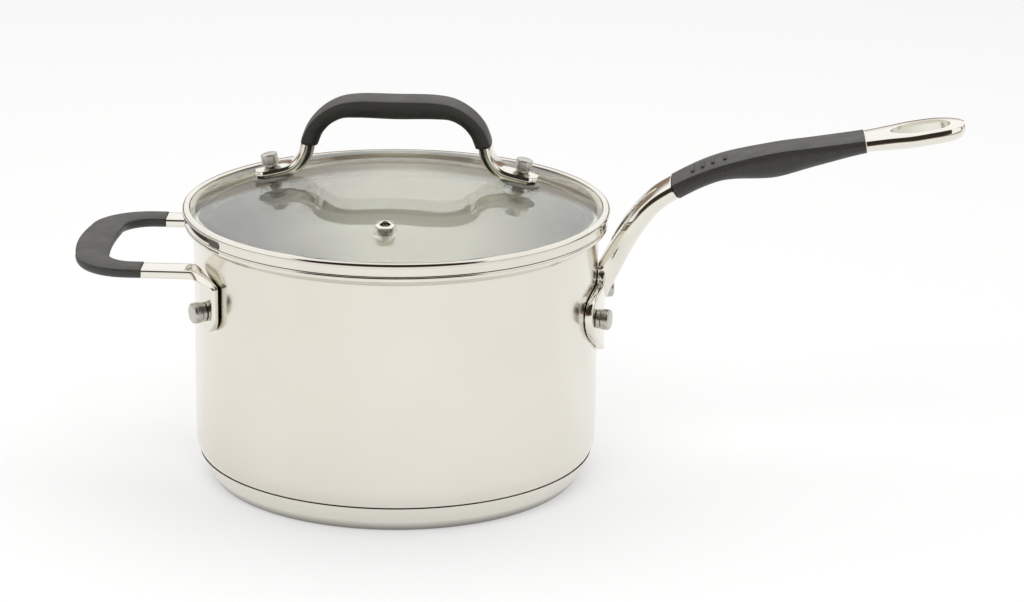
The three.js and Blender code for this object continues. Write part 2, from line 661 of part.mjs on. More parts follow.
// Eyelet that lines the steam vent, its lower end rolled over the washer.
function ventEyelet() {
  const tube = VENT_BORE + 1;
  const under = -GLASS_SHEET - FIT_GAP;
  return turned([
    [VENT_BORE, under - 2.4],
    [tube + 1.1, under - 2.4],
    [tube + 1.1, under - 1.6],
    [tube, under - 1.4],
    [tube, FIT_GAP],
    [VENT_FLANGE, FIT_GAP],
    [VENT_FLANGE, FIT_GAP + 0.5],
    [VENT_FLANGE - 0.6, FIT_GAP + 1],
    [VENT_BORE + 0.4, FIT_GAP + 1.2],
    [VENT_BORE, FIT_GAP + 0.9],
  ], 20);
}

function washer(inner, outer, bottom, top) {
  return turned([
    [inner, bottom],
    [outer, bottom],
    [outer, top],
    [inner, top],
  ], 20);
}

// Right half of the strap's outer line, from the middle to the tip of the foot.
function lidHandleCurve() {
  const arch = [[41, 0], [32, 1.8], [23.5, 6.8], [17.5, 13.6], [14.2, 21.5]].map(([inward, drop]) => (
    [FOOT_REACH - inward, LID_GRIP_TOP - drop]
  ));
  const leg = [[12.4, 12], [8.4, 7.6]].map(([inward, lift]) => (
    [FOOT_REACH - inward, domeHeight(FOOT_REACH - inward) + lift]
  ));
  const footLine = GASKET + 2 * FIT_GAP + LID_FOOT_SHEET;
  const foot = [FOOT_REACH - 2, FOOT_REACH + 3.4, FOOT_REACH + 7.8].map((reach) => (
    [reach + footLine * reach / GLASS_SPHERE, domeHeight(reach) + footLine]
  ));
  const right = [...arch, ...leg, ...foot];
  const left = right.map(([x, z]) => [-x, z]).reverse();
  const points = [...left, [0, LID_GRIP_TOP + 0.2], ...right];
  return new THREE.CatmullRomCurve3(points.map(([x, z]) => new THREE.Vector3(x, 0, z)));
}
const lidHandleRoute = uprightRoute(lidHandleCurve());
const LID_HANDLE_PARTS = 20; // spans between the curve's points
const LID_GRIP_FROM = 4.95 / LID_HANDLE_PARTS;

// Distance from the middle of the handle, 0 to 1.
const fromMiddle = (s) => Math.abs(2 * s - 1);

function lidStrapSection(s) {
  const foot = THREE.MathUtils.smoothstep(fromMiddle(s), 0.56, 0.74);
  const tip = THREE.MathUtils.smoothstep(fromMiddle(s), 0.9, 1);
  const half = LID_HANDLE_HALF - GRIP_SKIN - 0.6 * foot;
  return { half: half * (1 - 0.35 * tip), level: 0, crown: 0.4, belly: 6.4 - 0.6 * foot };
}

const lidTangSection = (clearance) => () => ({
  half: 5.4 + clearance, level: -3.9, crown: 1.7 + clearance, belly: 1.7 + clearance,
});

function lidGripSection(s) {
  const middle = 1 - THREE.MathUtils.smoothstep(fromMiddle(s), 0, 0.32);
  return { half: LID_HANDLE_HALF, level: 0, crown: 0.6, belly: 8.1 + 2.2 * middle };
}

// Flat underside of a foot and the hole for its screw.
function cutLidFoot(strap, x) {
  const spot = onGlass(x, 0);
  const under = GASKET + 2 * FIT_GAP;
  const block = new THREE.BoxGeometry(40, 26, 20).translate(0, 0, under - 10);
  return strap.subtract(toSolid(block.applyMatrix4(spot))).subtract(pin(SCREW_RADIUS + 0.5, -2, 14, spot));
}

function lidHandle() {
  const to = 1 - LID_GRIP_FROM;
  const legs = [[0, LID_GRIP_FROM], [to, 1]].map(([a, b]) => (
    bar(stretch(lidHandleRoute, a, b), stretch(lidStrapSection, a, b), 12)
  ));
  const range = [LID_GRIP_FROM - 0.02, to + 0.02];
  const tang = bar(stretch(lidHandleRoute, ...range), lidTangSection(0), 18, 8);
  const strap = legs[0].add(tang).add(legs[1]);
  return FOOT_SPOTS.reduce((cut, { x }) => cutLidFoot(cut, x), strap);
}

function lidGrip() {
  const short = 0.003;
  const range = [LID_GRIP_FROM + short, 1 - LID_GRIP_FROM - short];
  const boreRange = [LID_GRIP_FROM - short, 1 - LID_GRIP_FROM + short];
  const sleeve = bar(stretch(lidHandleRoute, ...range), stretch(lidGripSection, ...range), 24);
  return sleeve.subtract(bar(stretch(lidHandleRoute, ...boreRange), lidTangSection(FIT_GAP), 18, 8));
}

// Soft pad with round ends between a foot and the glass.
function footGasket() {
  const half = 7.6;
  const length = 2.4;
  const shape = new THREE.Shape();
  shape.absarc(0, length, half, 0, Math.PI);
  shape.absarc(0, -length, half, Math.PI, 2 * Math.PI);
  const geometry = new THREE.ExtrudeGeometry(shape, { depth: GASKET, bevelEnabled: false, curveSegments: 8 });
  const pad = toSolid(geometry.translate(0, 0, FIT_GAP));
  return pad.subtract(pin(SCREW_RADIUS + 0.5, -1, 4, new THREE.Matrix4()));
}

// Stack of the lid handle's fastening, measured along its screw from the glass's outer surface.
const nutBase = GASKET + 3 * FIT_GAP + LID_FOOT_SHEET + 0.4;
const gasketUnder = -GLASS_SHEET - FIT_GAP;
const washerUnder = gasketUnder - 1.5 - FIT_GAP;
const headUnder = washerUnder - 1 - FIT_GAP;

// Blind barrel nut on a narrower neck.
function barrelNut() {
  const radius = 4.2;
  const bore = SCREW_RADIUS + FIT_GAP;
  const top = nutBase + 6.4;
  return turned([
    [0, nutBase + 5],
    [bore, nutBase + 5],
    [bore, nutBase],
    [radius - 0.9, nutBase],
    [radius - 0.9, nutBase + 1.1],
    [radius, nutBase + 1.1],
    ...arc(radius - 0.8, top - 0.8, 0.8, 0.8, 0, 90, 2),
    [0, top],
  ], 18);
}

function lidScrew() {
  return turned([
    [0, headUnder - 2.2],
    [3, headUnder - 2],
    [4.4, headUnder - 0.9],
    [4.4, headUnder],
    [SCREW_RADIUS, headUnder],
    [SCREW_RADIUS, nutBase + 4.4],
    [0, nutBase + 4.4],
  ], 16);
}

// ---------- assembly ----------
add(pan, 'pan_body', panBody(), polished());
add(pan, 'base_core', baseCore(), aluminium());
add(pan, 'base_cap', baseCap(), brushed());
add(pan, 'main_handle', mainHandle(), polished());
add(pan, 'main_grip', mainGrip(), softGrip());
add(pan, 'helper_handle', helperHandle(), polished());
add(pan, 'helper_grip', helperGrip(), softGrip());
for (const { name, end, side, height, sheet } of RIVETS) {
  const spot = onWall(end, side, height);
  addPlaced(pan, name.replace('%', 'rivet'), rivet(sheet), brushed(), spot);
  addPlaced(pan, name.replace('%', 'collar'), collar(sheet), brushed(), spot);
}

add(lid, 'lid_glass', lidGlass(), clearGlass());
add(lid, 'lid_rim', lidRim(), polished());
add(lid, 'lid_handle', lidHandle(), polished());
add(lid, 'lid_grip', lidGrip(), softGrip());
addPlaced(lid, 'vent_eyelet', ventEyelet(), polished(), ventSpot);
const ventWasher = washer(VENT_BORE + 1 + FIT_GAP, 5.8, -GLASS_SHEET - FIT_GAP - 1, -GLASS_SHEET - FIT_GAP);
addPlaced(lid, 'vent_washer', ventWasher, brushed(), ventSpot);
for (const { name, x } of FOOT_SPOTS) {
  const spot = onGlass(x, 0);
  const bore = SCREW_RADIUS + 0.5;
  addPlaced(lid, `foot_gasket_${name}`, footGasket(), silicone(), spot);
  addPlaced(lid, `under_gasket_${name}`, washer(bore, 7, gasketUnder - 1.5, gasketUnder), silicone(), spot);
  addPlaced(lid, `under_washer_${name}`, washer(bore, 7.4, washerUnder - 1, washerUnder), brushed(), spot);
  addPlaced(lid, `barrel_nut_${name}`, barrelNut(), polished(), spot);
  addPlaced(lid, `lid_screw_${name}`, lidScrew(), brushed(), spot);
}

export default model;
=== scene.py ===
# A polished steel saucepan with a long handle, a loop helper handle and a lift-off glass lid.
# Metres, +Z up. The pan's axis is Z, the long handle points along +X, the steam vent is toward -Y.
import math

import bmesh
import bpy
from mathutils import Matrix, Vector


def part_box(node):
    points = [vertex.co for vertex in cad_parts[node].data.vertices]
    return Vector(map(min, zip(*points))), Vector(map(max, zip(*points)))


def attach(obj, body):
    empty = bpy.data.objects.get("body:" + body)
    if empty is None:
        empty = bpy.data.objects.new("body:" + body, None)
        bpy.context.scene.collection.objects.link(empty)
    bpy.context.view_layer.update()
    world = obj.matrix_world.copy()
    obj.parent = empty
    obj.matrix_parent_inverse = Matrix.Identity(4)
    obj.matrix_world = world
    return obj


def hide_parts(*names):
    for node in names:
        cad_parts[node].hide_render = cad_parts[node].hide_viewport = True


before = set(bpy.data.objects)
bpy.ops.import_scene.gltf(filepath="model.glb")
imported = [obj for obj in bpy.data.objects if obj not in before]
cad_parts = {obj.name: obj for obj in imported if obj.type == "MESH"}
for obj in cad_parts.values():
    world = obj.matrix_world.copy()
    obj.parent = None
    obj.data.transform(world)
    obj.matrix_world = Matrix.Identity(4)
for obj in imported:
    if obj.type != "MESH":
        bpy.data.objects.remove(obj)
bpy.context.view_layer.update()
mm = 0.001

# ---- Camera ----
# A long lens that looks down at the pan from the steam vent's side.
eye = Vector((0.13053, -1.72407, 0.6245))
look_turn = math.radians(2.406)
look_down = math.radians(17.217)
look_roll = math.radians(0.682)

camera_data = bpy.data.cameras.new("camera")
camera_data.sensor_width = 36
camera_data.lens = 126.69
camera_data.clip_end = 100
camera = bpy.data.objects.new("camera", camera_data)
bpy.context.collection.objects.link(camera)
camera.matrix_world = (
    Matrix.Translation(eye)
    @ Matrix.Rotation(look_turn, 4, "Z")
    @ Matrix.Rotation(math.radians(90) - look_down, 4, "X")
    @ Matrix.Rotation(look_roll, 4, "Z")
)
bpy.context.scene.camera = camera
bpy.context.scene.view_settings.view_transform = "Standard"

# ---- Studio ----
# A white room with soft lamps overhead and in front. The room is dark above the camera and brown
# just over the horizon, which shows in the steel as thin lines along its rounded edges.
room_white = 1.12
backdrop_white = 1.3
room_dark = (0.035, 0.027, 0.022, 1)
dark_rise = math.radians(34)
dark_middle = Vector((0, -math.cos(dark_rise), math.sin(dark_rise)))
dark_edge = math.cos(math.radians(50))
dark_core = math.cos(math.radians(43))
low_brown = (0.26, 0.19, 0.14, 1)
brown_core, brown_edge = 0.11, 0.21
pan_middle = Vector((0, 0, 0.07))


class Wiring:
    """A node tree that is wired up step by step."""

    def __init__(self, tree):
        self.tree = tree

    def feed(self, socket, value):
        """Joins a socket to another node's output, or sets it to a plain value."""
        if isinstance(value, bpy.types.NodeSocket):
            self.tree.links.new(value, socket)
        else:
            socket.default_value = value

    def node(self, kind, *values, out=None, **named):
        """Adds a node, feeds its sockets in order and by name, and gives back one output."""
        made = self.tree.nodes.new("ShaderNode" + kind)
        for key in [key for key in named if hasattr(made, key)]:
            setattr(made, key, named.pop(key))
        sockets = [socket for socket in made.inputs if not socket.is_unavailable]
        for socket, value in zip(sockets, values):
            self.feed(socket, value)
        for key, value in named.items():
            self.feed(made.inputs[key.replace("_", " ")], value)
        if out:
            return made.outputs[out]
        return next(socket for socket in made.outputs if not socket.is_unavailable)


world = bpy.data.worlds.new("studio")
bpy.context.scene.world = world
world.use_nodes = True
room = Wiring(world.node_tree)
room.tree.nodes.clear()
direction = room.node("TexCoord", out="Generated")
toward_dark = room.node("VectorMath", direction, dark_middle, operation="DOT_PRODUCT")
fade = room.node("MapRange", toward_dark, dark_edge, dark_core, interpolation_type="SMOOTHSTEP")
shade = room.node("Mix", fade, (1, 1, 1, 1), room_dark, data_type="RGBA")
rise = room.node("SeparateXYZ", direction, out="Z")
above_brown = room.node("MapRange", rise, brown_core, brown_edge, interpolation_type="SMOOTHSTEP")
low_shade = room.node("Mix", above_brown, low_brown, shade, data_type="RGBA")
reflected = room.node("Background", low_shade, room_white)
backdrop = room.node("Background", (1, 1, 1, 1), backdrop_white)
seen = room.node("MixShader", room.node("LightPath", out="Is Camera Ray"), reflected, backdrop)
room.feed(room.tree.nodes.new("ShaderNodeOutputWorld").inputs["Surface"], seen)


def soft_light(name, place, size, power):
    """A wide lamp that lights the pan but doesn't show in it."""
    light = bpy.data.lights.new(name, "AREA")
    light.shape = "RECTANGLE"
    light.size, light.size_y = size
    light.energy = power
    lamp = bpy.data.objects.new(name, light)
    bpy.context.collection.objects.link(lamp)
    facing = (pan_middle - place).to_track_quat("-Z", "Y").to_matrix().to_4x4()
    lamp.matrix_world = Matrix.Translation(place) @ facing
    lamp.visible_glossy = False
    lamp.visible_transmission = False


soft_light("overhead", Vector((0.1, 0.5, 1.6)), (2.4, 1.6), 22)
soft_light("front_fill", Vector((-0.15, -1.0, 1.3)), (0.9, 0.6), 15)

# The floor glows a little by itself, less so toward the helper handle.
floor_half = 6
floor_corners = [(x * floor_half, y * floor_half, 0) for x, y in ((-1, -1), (1, -1), (1, 1), (-1, 1))]
floor_data = bpy.data.meshes.new("floor")
floor_data.from_pydata(floor_corners, [], [(0, 1, 2, 3)])
floor = bpy.data.objects.new("floor", floor_data)
bpy.context.collection.objects.link(floor)


class Finish(Wiring):
    """A material built up step by step around one Principled shader."""

    def __init__(self, name, metallic=0.0):
        self.material = bpy.data.materials.new(name)
        self.material.use_nodes = True
        super().__init__(self.material.node_tree)
        self.shader = self.tree.nodes["Principled BSDF"]
        self.shader.inputs["Metallic"].default_value = metallic
        self.place = self.node("TexCoord", out="Object")

    def bearing_place(self):
        """Coordinates without their height."""
        return self.node("VectorMath", self.place, (1, 1, 0), operation="MULTIPLY")

    def round_place(self):
        """Coordinates that stay the same all the way round Z: radius, nothing, height."""
        reach = self.node("VectorMath", self.bearing_place(), operation="LENGTH")
        return self.node("CombineXYZ", reach, 0, self.node("SeparateXYZ", self.place, out="Z"))

    def noise(self, scale, detail=3.0, stretch=(1, 1, 1), place=None):
        spread = self.node("Mapping", place or self.place, Scale=stretch)
        return self.node("TexNoise", spread, Scale=scale, Detail=detail)

    def clouded(self, factor, cloud, low, high):
        """A factor made weaker and stronger in patches."""
        patches = self.node("MapRange", cloud, To_Min=low, To_Max=high)
        return self.node("Math", factor, patches, operation="MULTIPLY")

    def colours(self, factor, dark, light, low=0.3, high=0.7):
        ramp = self.tree.nodes.new("ShaderNodeValToRGB")
        ramp.color_ramp.elements[0].position = low
        ramp.color_ramp.elements[0].color = (*dark, 1)
        ramp.color_ramp.elements[1].position = high
        ramp.color_ramp.elements[1].color = (*light, 1)
        self.feed(ramp.inputs["Fac"], factor)
        self.feed(self.shader.inputs["Base Color"], ramp.outputs["Color"])

    def gloss(self, factor, low, high):
        self.feed(self.shader.inputs["Roughness"], self.node("MapRange", factor, 0.3, 0.7, low, high))

    def relief(self, factor, height, strength):
        bump = self.node("Bump", Strength=strength, Distance=height, Height=factor)
        self.feed(self.shader.inputs["Normal"], bump)

    def cover(self, made):
        made.data.materials.append(self.material)


floor_paint = Finish("white_floor")
floor_shader = floor_paint.shader
floor_shader.inputs["Roughness"].default_value = 0.9
floor_shader.inputs["Specular IOR Level"].default_value = 0.1
floor_shader.inputs["Emission Strength"].default_value = 0.55
floor_tone = floor_paint.node("TexNoise", Scale=1.5)
floor_paint.colours(floor_tone, (0.26, 0.26, 0.26), (0.30, 0.30, 0.295), 0, 1)
floor_across = floor_paint.node("SeparateXYZ", floor_paint.place, out="X")
floor_glow = floor_paint.node("MapRange", floor_across, -2.6, -0.4, 0.72, 1.0)
floor_paint.feed(floor_shader.inputs["Emission Color"], floor_glow)
floor_paint.cover(floor)

# ---- Pan body ----
# One deep-drawn stainless bowl: a straight wall, a rounded bottom corner and a rim flared outward
# for pouring. It is mirror polished outside and brushed round and round inside.
wall_radius = 100.8 * mm
wall_sheet = 1.0 * mm
corner = 16 * mm
corner_height = 22 * mm
cap_step = 0.6 * mm
seam_height = 13.9 * mm
rim_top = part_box("pan_body")[1].z
rim_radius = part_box("pan_body")[1].x
flare_start = rim_top - 5.9 * mm
body_floor = 7.8 * mm
crisp_angle = 34  # degrees


def arc(centre, half, start, end, steps):
    """Points along an arc of an ellipse, from one angle to another in degrees."""
    points = []
    for i in range(steps + 1):
        angle = math.radians(start + (end - start) * i / steps)
        points.append((centre[0] + half[0] * math.cos(angle), centre[1] + half[1] * math.sin(angle)))
    return points


def finished(name, build, sharp):
    """A smooth-shaded object. Edges that turn by more than the sharp angle stay crisp."""
    data = bpy.data.meshes.new(name)
    build.to_mesh(data)
    build.free()
    data.shade_smooth()
    data.set_sharp_from_angle(angle=math.radians(sharp))
    made = bpy.data.objects.new(name, data)
    bpy.context.collection.objects.link(made)
    return made


def piece(name, points, faces):
    """A closed piece from its points and faces."""
    build = bmesh.new()
    corners = [build.verts.new(p) for p in points]
    for face in faces:
        build.faces.new([corners[i] for i in face])
    bmesh.ops.remove_doubles(build, verts=build.verts, dist=1e-7)
    bmesh.ops.recalc_face_normals(build, faces=build.faces)
    return finished(name, build, crisp_angle)


def turned(name, outline, around):
    """A piece turned about Z from (radius, height) points that run round its section."""
    points, rows, faces = [], [], []
    for radius, height in outline:
        if radius < 1e-7:
            rows.append([len(points)] * around)
            points.append((0, 0, height))
            continue
        rows.append(list(range(len(points), len(points) + around)))
        for k in range(around):
            angle = 2 * math.pi * k / around
            points.append((radius * math.cos(angle), radius * math.sin(angle), height))
    pairs = list(zip(rows, rows[1:]))
    if outline[0][0] > 1e-7:
        pairs.append((rows[-1], rows[0]))
    for low, high in pairs:
        for k in range(around):
            following = (k + 1) % around
            face = list(dict.fromkeys((low[k], low[following], high[following], high[k])))
            if len(face) > 2:
                faces.append(face)
    return piece(name, points, faces)


def eased(start, end, steps):
    """Points of a soft S between two (radius, height) places, upright at both ends."""
    points = []
    for i in range(steps + 1):
        share = i / steps
        sway = (1 - math.cos(math.pi * share)) / 2
        points.append((start[0] + (end[0] - start[0]) * sway, start[1] + (end[1] - start[1]) * share))
    return points


corner_middle = wall_radius - corner
seam_angle = math.degrees(math.asin((seam_height + 0.4 * mm - corner_height) / corner))
stepped = corner - cap_step
inner_wall = wall_radius - wall_sheet
inner_corner = inner_wall - corner_middle
rim_inner = rim_radius - 1.3 * mm
body_outline = [
    (0, corner_height - stepped),
    *arc((corner_middle, corner_height), (stepped, stepped), -90, seam_angle, 16),
    *arc((corner_middle, corner_height), (corner, corner), seam_angle, 0, 12),
    *eased((wall_radius, flare_start), (rim_radius, rim_top - 1.9 * mm), 14),
    *arc((rim_radius - 1 * mm, rim_top - 1 * mm), (1 * mm, 1 * mm), 0, 90, 10),
    *arc((rim_inner + 0.3 * mm, rim_top - 0.3 * mm), (0.3 * mm, 0.3 * mm), 90, 180, 4),
    *reversed(eased((inner_wall, flare_start + 0.4 * mm), (rim_inner, rim_top - 1.6 * mm), 14)),
    *arc((corner_middle, corner_height), (inner_corner, corner_height - body_floor), 0, -90, 18),
    (0, body_floor),
]
pan_body = turned("saucepan_body", body_outline, around=256)

polished_wall = Finish("polished_wall_steel", metallic=1)
polished_wall.colours(polished_wall.noise(9, 4), (0.745, 0.715, 0.635), (0.79, 0.765, 0.69))
polished_wall.gloss(polished_wall.noise(60, 6, (1, 1, 0.15)), 0.15, 0.20)
polished_wall.relief(polished_wall.noise(900, 2, (1, 1, 0.03)), 0.004 * mm, 0.25)

mirror = Finish("mirror_polished_rim", metallic=1)
mirror.colours(mirror.noise(25, 4), (0.73, 0.70, 0.63), (0.78, 0.755, 0.685))
mirror.gloss(mirror.noise(120, 5), 0.03, 0.07)
mirror.relief(mirror.noise(500, 2), 0.004 * mm, 0.2)

# Painted shade for the seam: the bowl's faces in the gap under the capsule's top edge are near black.
seam_shade = Finish("seam_painted_shade_steel", metallic=1)
seam_shade.colours(seam_shade.noise(300, 3), (0.030, 0.026, 0.035), (0.055, 0.050, 0.060))
seam_shade.gloss(seam_shade.noise(200, 3), 0.35, 0.5)

# Painted highlight and shade by bearing: light wedges in front and behind, dark at the sides.
brushed_inside = Finish("brushed_inside_painted_light_steel", metallic=0.3)
inside_lines = brushed_inside.noise(2600, 4, place=brushed_inside.round_place())
bearing = brushed_inside.node("VectorMath", brushed_inside.bearing_place(), operation="NORMALIZE")
front_and_back = brushed_inside.node("SeparateXYZ", bearing, out="Y")
painted_light_wedge = brushed_inside.node("Math", front_and_back, 6, operation="POWER")
cloudy_painted_light = brushed_inside.clouded(painted_light_wedge, brushed_inside.noise(14, 5, (1, 1, 3)), 0.8, 1.15)
brushed_inside.colours(cloudy_painted_light, (0.04, 0.04, 0.037), (0.94, 0.925, 0.81), 0.0, 0.9)
brushed_inside.gloss(inside_lines, 0.34, 0.48)
brushed_inside.relief(inside_lines, 0.02 * mm, 0.35)

for paint in (polished_wall, brushed_inside, seam_shade, mirror):
    paint.cover(pan_body)
inside_paint, seam_paint, rim_paint = 1, 2, 3
for face in pan_body.data.polygons:
    reach = math.hypot(face.center.x, face.center.y)
    height = face.center.z
    inward = face.normal.x * face.center.x + face.normal.y * face.center.y < 0
    over_floor = height > body_floor - 0.2 * mm
    on_floor = face.normal.z > 0.9 and reach < corner_middle
    if over_floor and (on_floor or inward and height < flare_start + 1 * mm):
        face.material_index = inside_paint
    # Outer faces round the seam's gap take the painted shade.
    if not inward and seam_height - 2.5 * mm < height < seam_height + 0.45 * mm:
        face.material_index = seam_paint
    if height > flare_start + 1.5 * mm:
        face.material_index = rim_paint
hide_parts("pan_body")
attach(pan_body, "pan")

# ---- Heat-spreading base ----
# A thick aluminium disc under the bowl, closed in by a pressed satin steel capsule. The capsule's
# top edge meets the bowl in a fine dark seam all round; that dark is painted shade on the bowl.
base_radius = 90.2 * mm
cap_sheet = 0.6 * mm
cap_swell = 0.5 * mm
cap_gap = 0.6 * mm
foot_round = 3.0 * mm

cap_mouth = corner_middle + math.sqrt((stepped + cap_gap) ** 2 - (corner_height - seam_height) ** 2)
cap_low = base_radius + 2.4 * mm
side_start = foot_round * 0.45


def cap_side(inset):
    """The capsule's slightly bowed side, from its foot up to the seam."""
    points = []
    for i in range(13):
        share = i / 12
        bow = 4 * cap_swell * share * (1 - share)
        reach = cap_low + (cap_mouth + cap_sheet - cap_low) * share + bow - inset
        points.append((reach, side_start + (seam_height - side_start) * share))
    return points


cap_outline = [
    (0, 0),
    (base_radius - 1.2 * mm, 0),
    *arc((base_radius - 0.6 * mm, foot_round * 0.6), (foot_round, foot_round * 0.6), -85, -18, 8),
    *cap_side(0)[:-1],
    (cap_mouth + cap_sheet - 0.12 * mm, seam_height - 0.15 * mm),
    (cap_mouth + 0.08 * mm, seam_height - 0.15 * mm),
    *reversed(cap_side(cap_sheet)[:-1]),
    (base_radius - 0.6 * mm, cap_sheet),
    (0, cap_sheet),
]
base_capsule = turned("base_capsule", cap_outline, around=256)

satin = Finish("turned_satin_steel_painted_shade", metallic=1)
satin_lines = satin.noise(2200, 3, place=satin.round_place())
# Painted shade: the capsule darkens over its lowest 8 mm, standing for the shaded floor reflected by its
# foot.
painted_foot_shade = satin.node("MapRange", satin.node("SeparateXYZ", satin.place, out="Z"), From_Max=8 * mm)
cloudy_foot_shade = satin.clouded(painted_foot_shade, satin.noise(12, 4), 0.85, 1.1)
satin.colours(cloudy_foot_shade, (0.15, 0.14, 0.125), (0.80, 0.775, 0.70), 0.04, 0.70)
satin.gloss(satin_lines, 0.20, 0.30)
satin.relief(satin_lines, 0.012 * mm, 0.35)
satin.cover(base_capsule)
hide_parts("base_cap")
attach(base_capsule, "pan")

aluminium = Finish("rolled_aluminium", metallic=1)
aluminium.colours(aluminium.noise(200, 4, (1, 0.05, 1)), (0.70, 0.71, 0.72), (0.80, 0.81, 0.82))
aluminium.gloss(aluminium.noise(400, 4), 0.40, 0.55)
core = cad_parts["base_core"]
core.data.materials.clear()
aluminium.cover(core)

# ---- Long handle ----
# One casting in polished stainless: a shield-shaped foot curved to the wall, a neck that rises and
# widens with a long slot in its top, a bar inside the grip and a flat end with a hanging hole.
# Each station along its top line: reach from the pan's axis, height, half width and depth.
handle_stations = [
    (92, 92, 6.4, 12), (102.5, 114, 6.8, 11.8), (112.5, 132, 11.8, 11.2), (124, 146, 12.4, 10.2),
    (136, 154.4, 12.4, 9.6), (156.9, 164.5, 13.9, 9.3), (185.4, 172.2, 12.4, 14.4),
    (207.25, 175.8, 12.4, 11.2), (231, 179.7, 12.8, 8), (242, 181.8, 14.4, 8.6), (254, 184, 16.6, 9),
    (265, 186, 15.8, 9), (272.5, 187, 13.2, 8.6), (277, 187.5, 9.4, 7.6), (279.2, 187.7, 4.4, 6),
]
handle_last = len(handle_stations) - 1
grip_skin = 0.4 * mm
foot_sheet = 3.8 * mm
wall_gap = 0.3 * mm
main_rivet_side = 25.6 * mm
main_rivet_height = 90 * mm
grip_from, grip_to = 4, 8
slot_from, slot_to = 1.46, 3.44
slot_half = 3.5 * mm
hole_middle = 257.75 * mm
hole_reach, hole_half = 14.75 * mm, 10.6 * mm
plate_bevel = 0.9 * mm
cast_grain = 0.42 * mm
cast_softening = 7


def smooth_line(points, share):
    """The point at a share, 0 to 1, of a smooth line through the points."""
    last = len(points) - 1
    place = min(max(share, 0), 1) * last
    i = min(int(place), last - 1)
    w = place - i
    near, far = points[i], points[i + 1]
    before = points[i - 1] if i > 0 else 2 * near - far
    after = points[i + 2] if i + 2 <= last else 2 * far - near
    span = (far - near).length ** 0.5 or 1
    span_before = (near - before).length ** 0.5 or span
    span_after = (after - far).length ** 0.5 or span
    pace = (far - near) / span
    leave = ((near - before) / span_before - (far - before) / (span_before + span) + pace) * span
    arrive = (pace - (after - near) / (span + span_after) + (after - far) / span_after) * span
    return (
        near + leave * w
        + (3 * (far - near) - 2 * leave - arrive) * w ** 2
        + (2 * (near - far) + leave + arrive) * w ** 3
    )


def upright_route(points):
    """A route in a plane parallel to XZ: the place, the side and the way up at a share of it."""
    def route(share):
        ahead = smooth_line(points, min(share + 0.001, 1)) - smooth_line(points, max(share - 0.001, 0))
        side = Vector((0, -1, 0))
        return smooth_line(points, share), side, side.cross(ahead).normalized()
    return route


def skinned(name, rings, capped=True):
    """A closed piece over a row of rings that all have the same number of points."""
    count = len(rings[0])
    points = [point for ring in rings for point in ring]
    faces = []
    for low in range(0, len(points) - count, count):
        for k in range(count):
            following = (k + 1) % count
            faces.append((low + k, low + following, low + count + following, low + count + k))
    if capped:
        faces += [tuple(range(count)), tuple(range(len(points) - count, len(points)))]
    return piece(name, points, faces)


def bar(name, route, ring, shares):
    """A closed bar along a route. ring(share) gives its section as (side, up) points."""
    rings = []
    for share in shares:
        at, side, up = route(share)
        rings.append([at + side * across + up * rise for across, rise in ring(share)])
    return skinned(name, rings)


def spread(start, end, steps):
    return [start + (end - start) * i / steps for i in range(steps + 1)]


def mirrored(right):
    """A whole section from its right half, listed from the top middle to the bottom middle."""
    return right + [(-across, rise) for across, rise in reversed(right[1:-1])]


def flanged(half, depth, edge, shrink=0.0):
    """Flat top, steep narrow edges and a rounded belly."""
    half, depth = half - shrink, depth - 2 * shrink
    slope = min(0.9 * mm, half * 0.2)
    right = [(half * 0.9 * i / 6, -shrink + 0.35 * mm * (1 - (i / 6) ** 2)) for i in range(6)]
    right += [
        (half - slope - 0.5 * mm, -shrink),
        (half - slope - 0.1 * mm, -shrink - 0.12 * mm),
        (half - slope, -shrink - 0.5 * mm),
        (half - slope * 0.4, -shrink - edge * 0.6),
        (half, -shrink - edge),
    ]
    for i in range(1, 13):
        angle = math.radians(90 * i / 12)
        drop = edge + (depth - edge) * math.sin(angle) ** 0.9
        right.append((half * math.cos(angle) ** 0.8, -shrink - drop))
    return mirrored(right)


handle_route = upright_route([Vector((x, 0, top)) * mm for x, top, half, depth in handle_stations])
handle_sizes = [Vector((half, depth, 0)) * mm for x, top, half, depth in handle_stations]


def handle_ring(share):
    size = smooth_line(handle_sizes, share)
    return flanged(size.x, size.y, min(2.4 * mm, size.y * 0.3), grip_skin)


def rounded_bar(half, top, bottom, corner_power=0.5, steps=24):
    """Section as wide as twice half, from bottom to top. A smaller power gives tighter corners."""
    middle, tall = (top + bottom) / 2, (top - bottom) / 2
    ring = []
    for i in range(steps):
        angle = 2 * math.pi * i / steps
        across = math.copysign(abs(math.cos(angle)) ** corner_power, math.cos(angle))
        rise = math.copysign(abs(math.sin(angle)) ** corner_power, math.sin(angle))
        ring.append((half * across, middle + tall * rise))
    return ring


def tang_ring(share):
    depth = smooth_line(handle_sizes, share).y
    return rounded_bar(7.5 * mm, -0.22 * depth, -0.62 * depth)


def slot_ring(share):
    """Section of the slot's cutter, widest nearer the pan and pointed at both ends."""
    inside = (share * handle_last - 1.45) / 2
    end_half = 0.3 * mm
    half = end_half + (slot_half - end_half) * math.sin(math.pi * min(max(inside, 0), 1) ** 0.6)
    return rounded_bar(half, 4 * mm, -2.4 * mm)


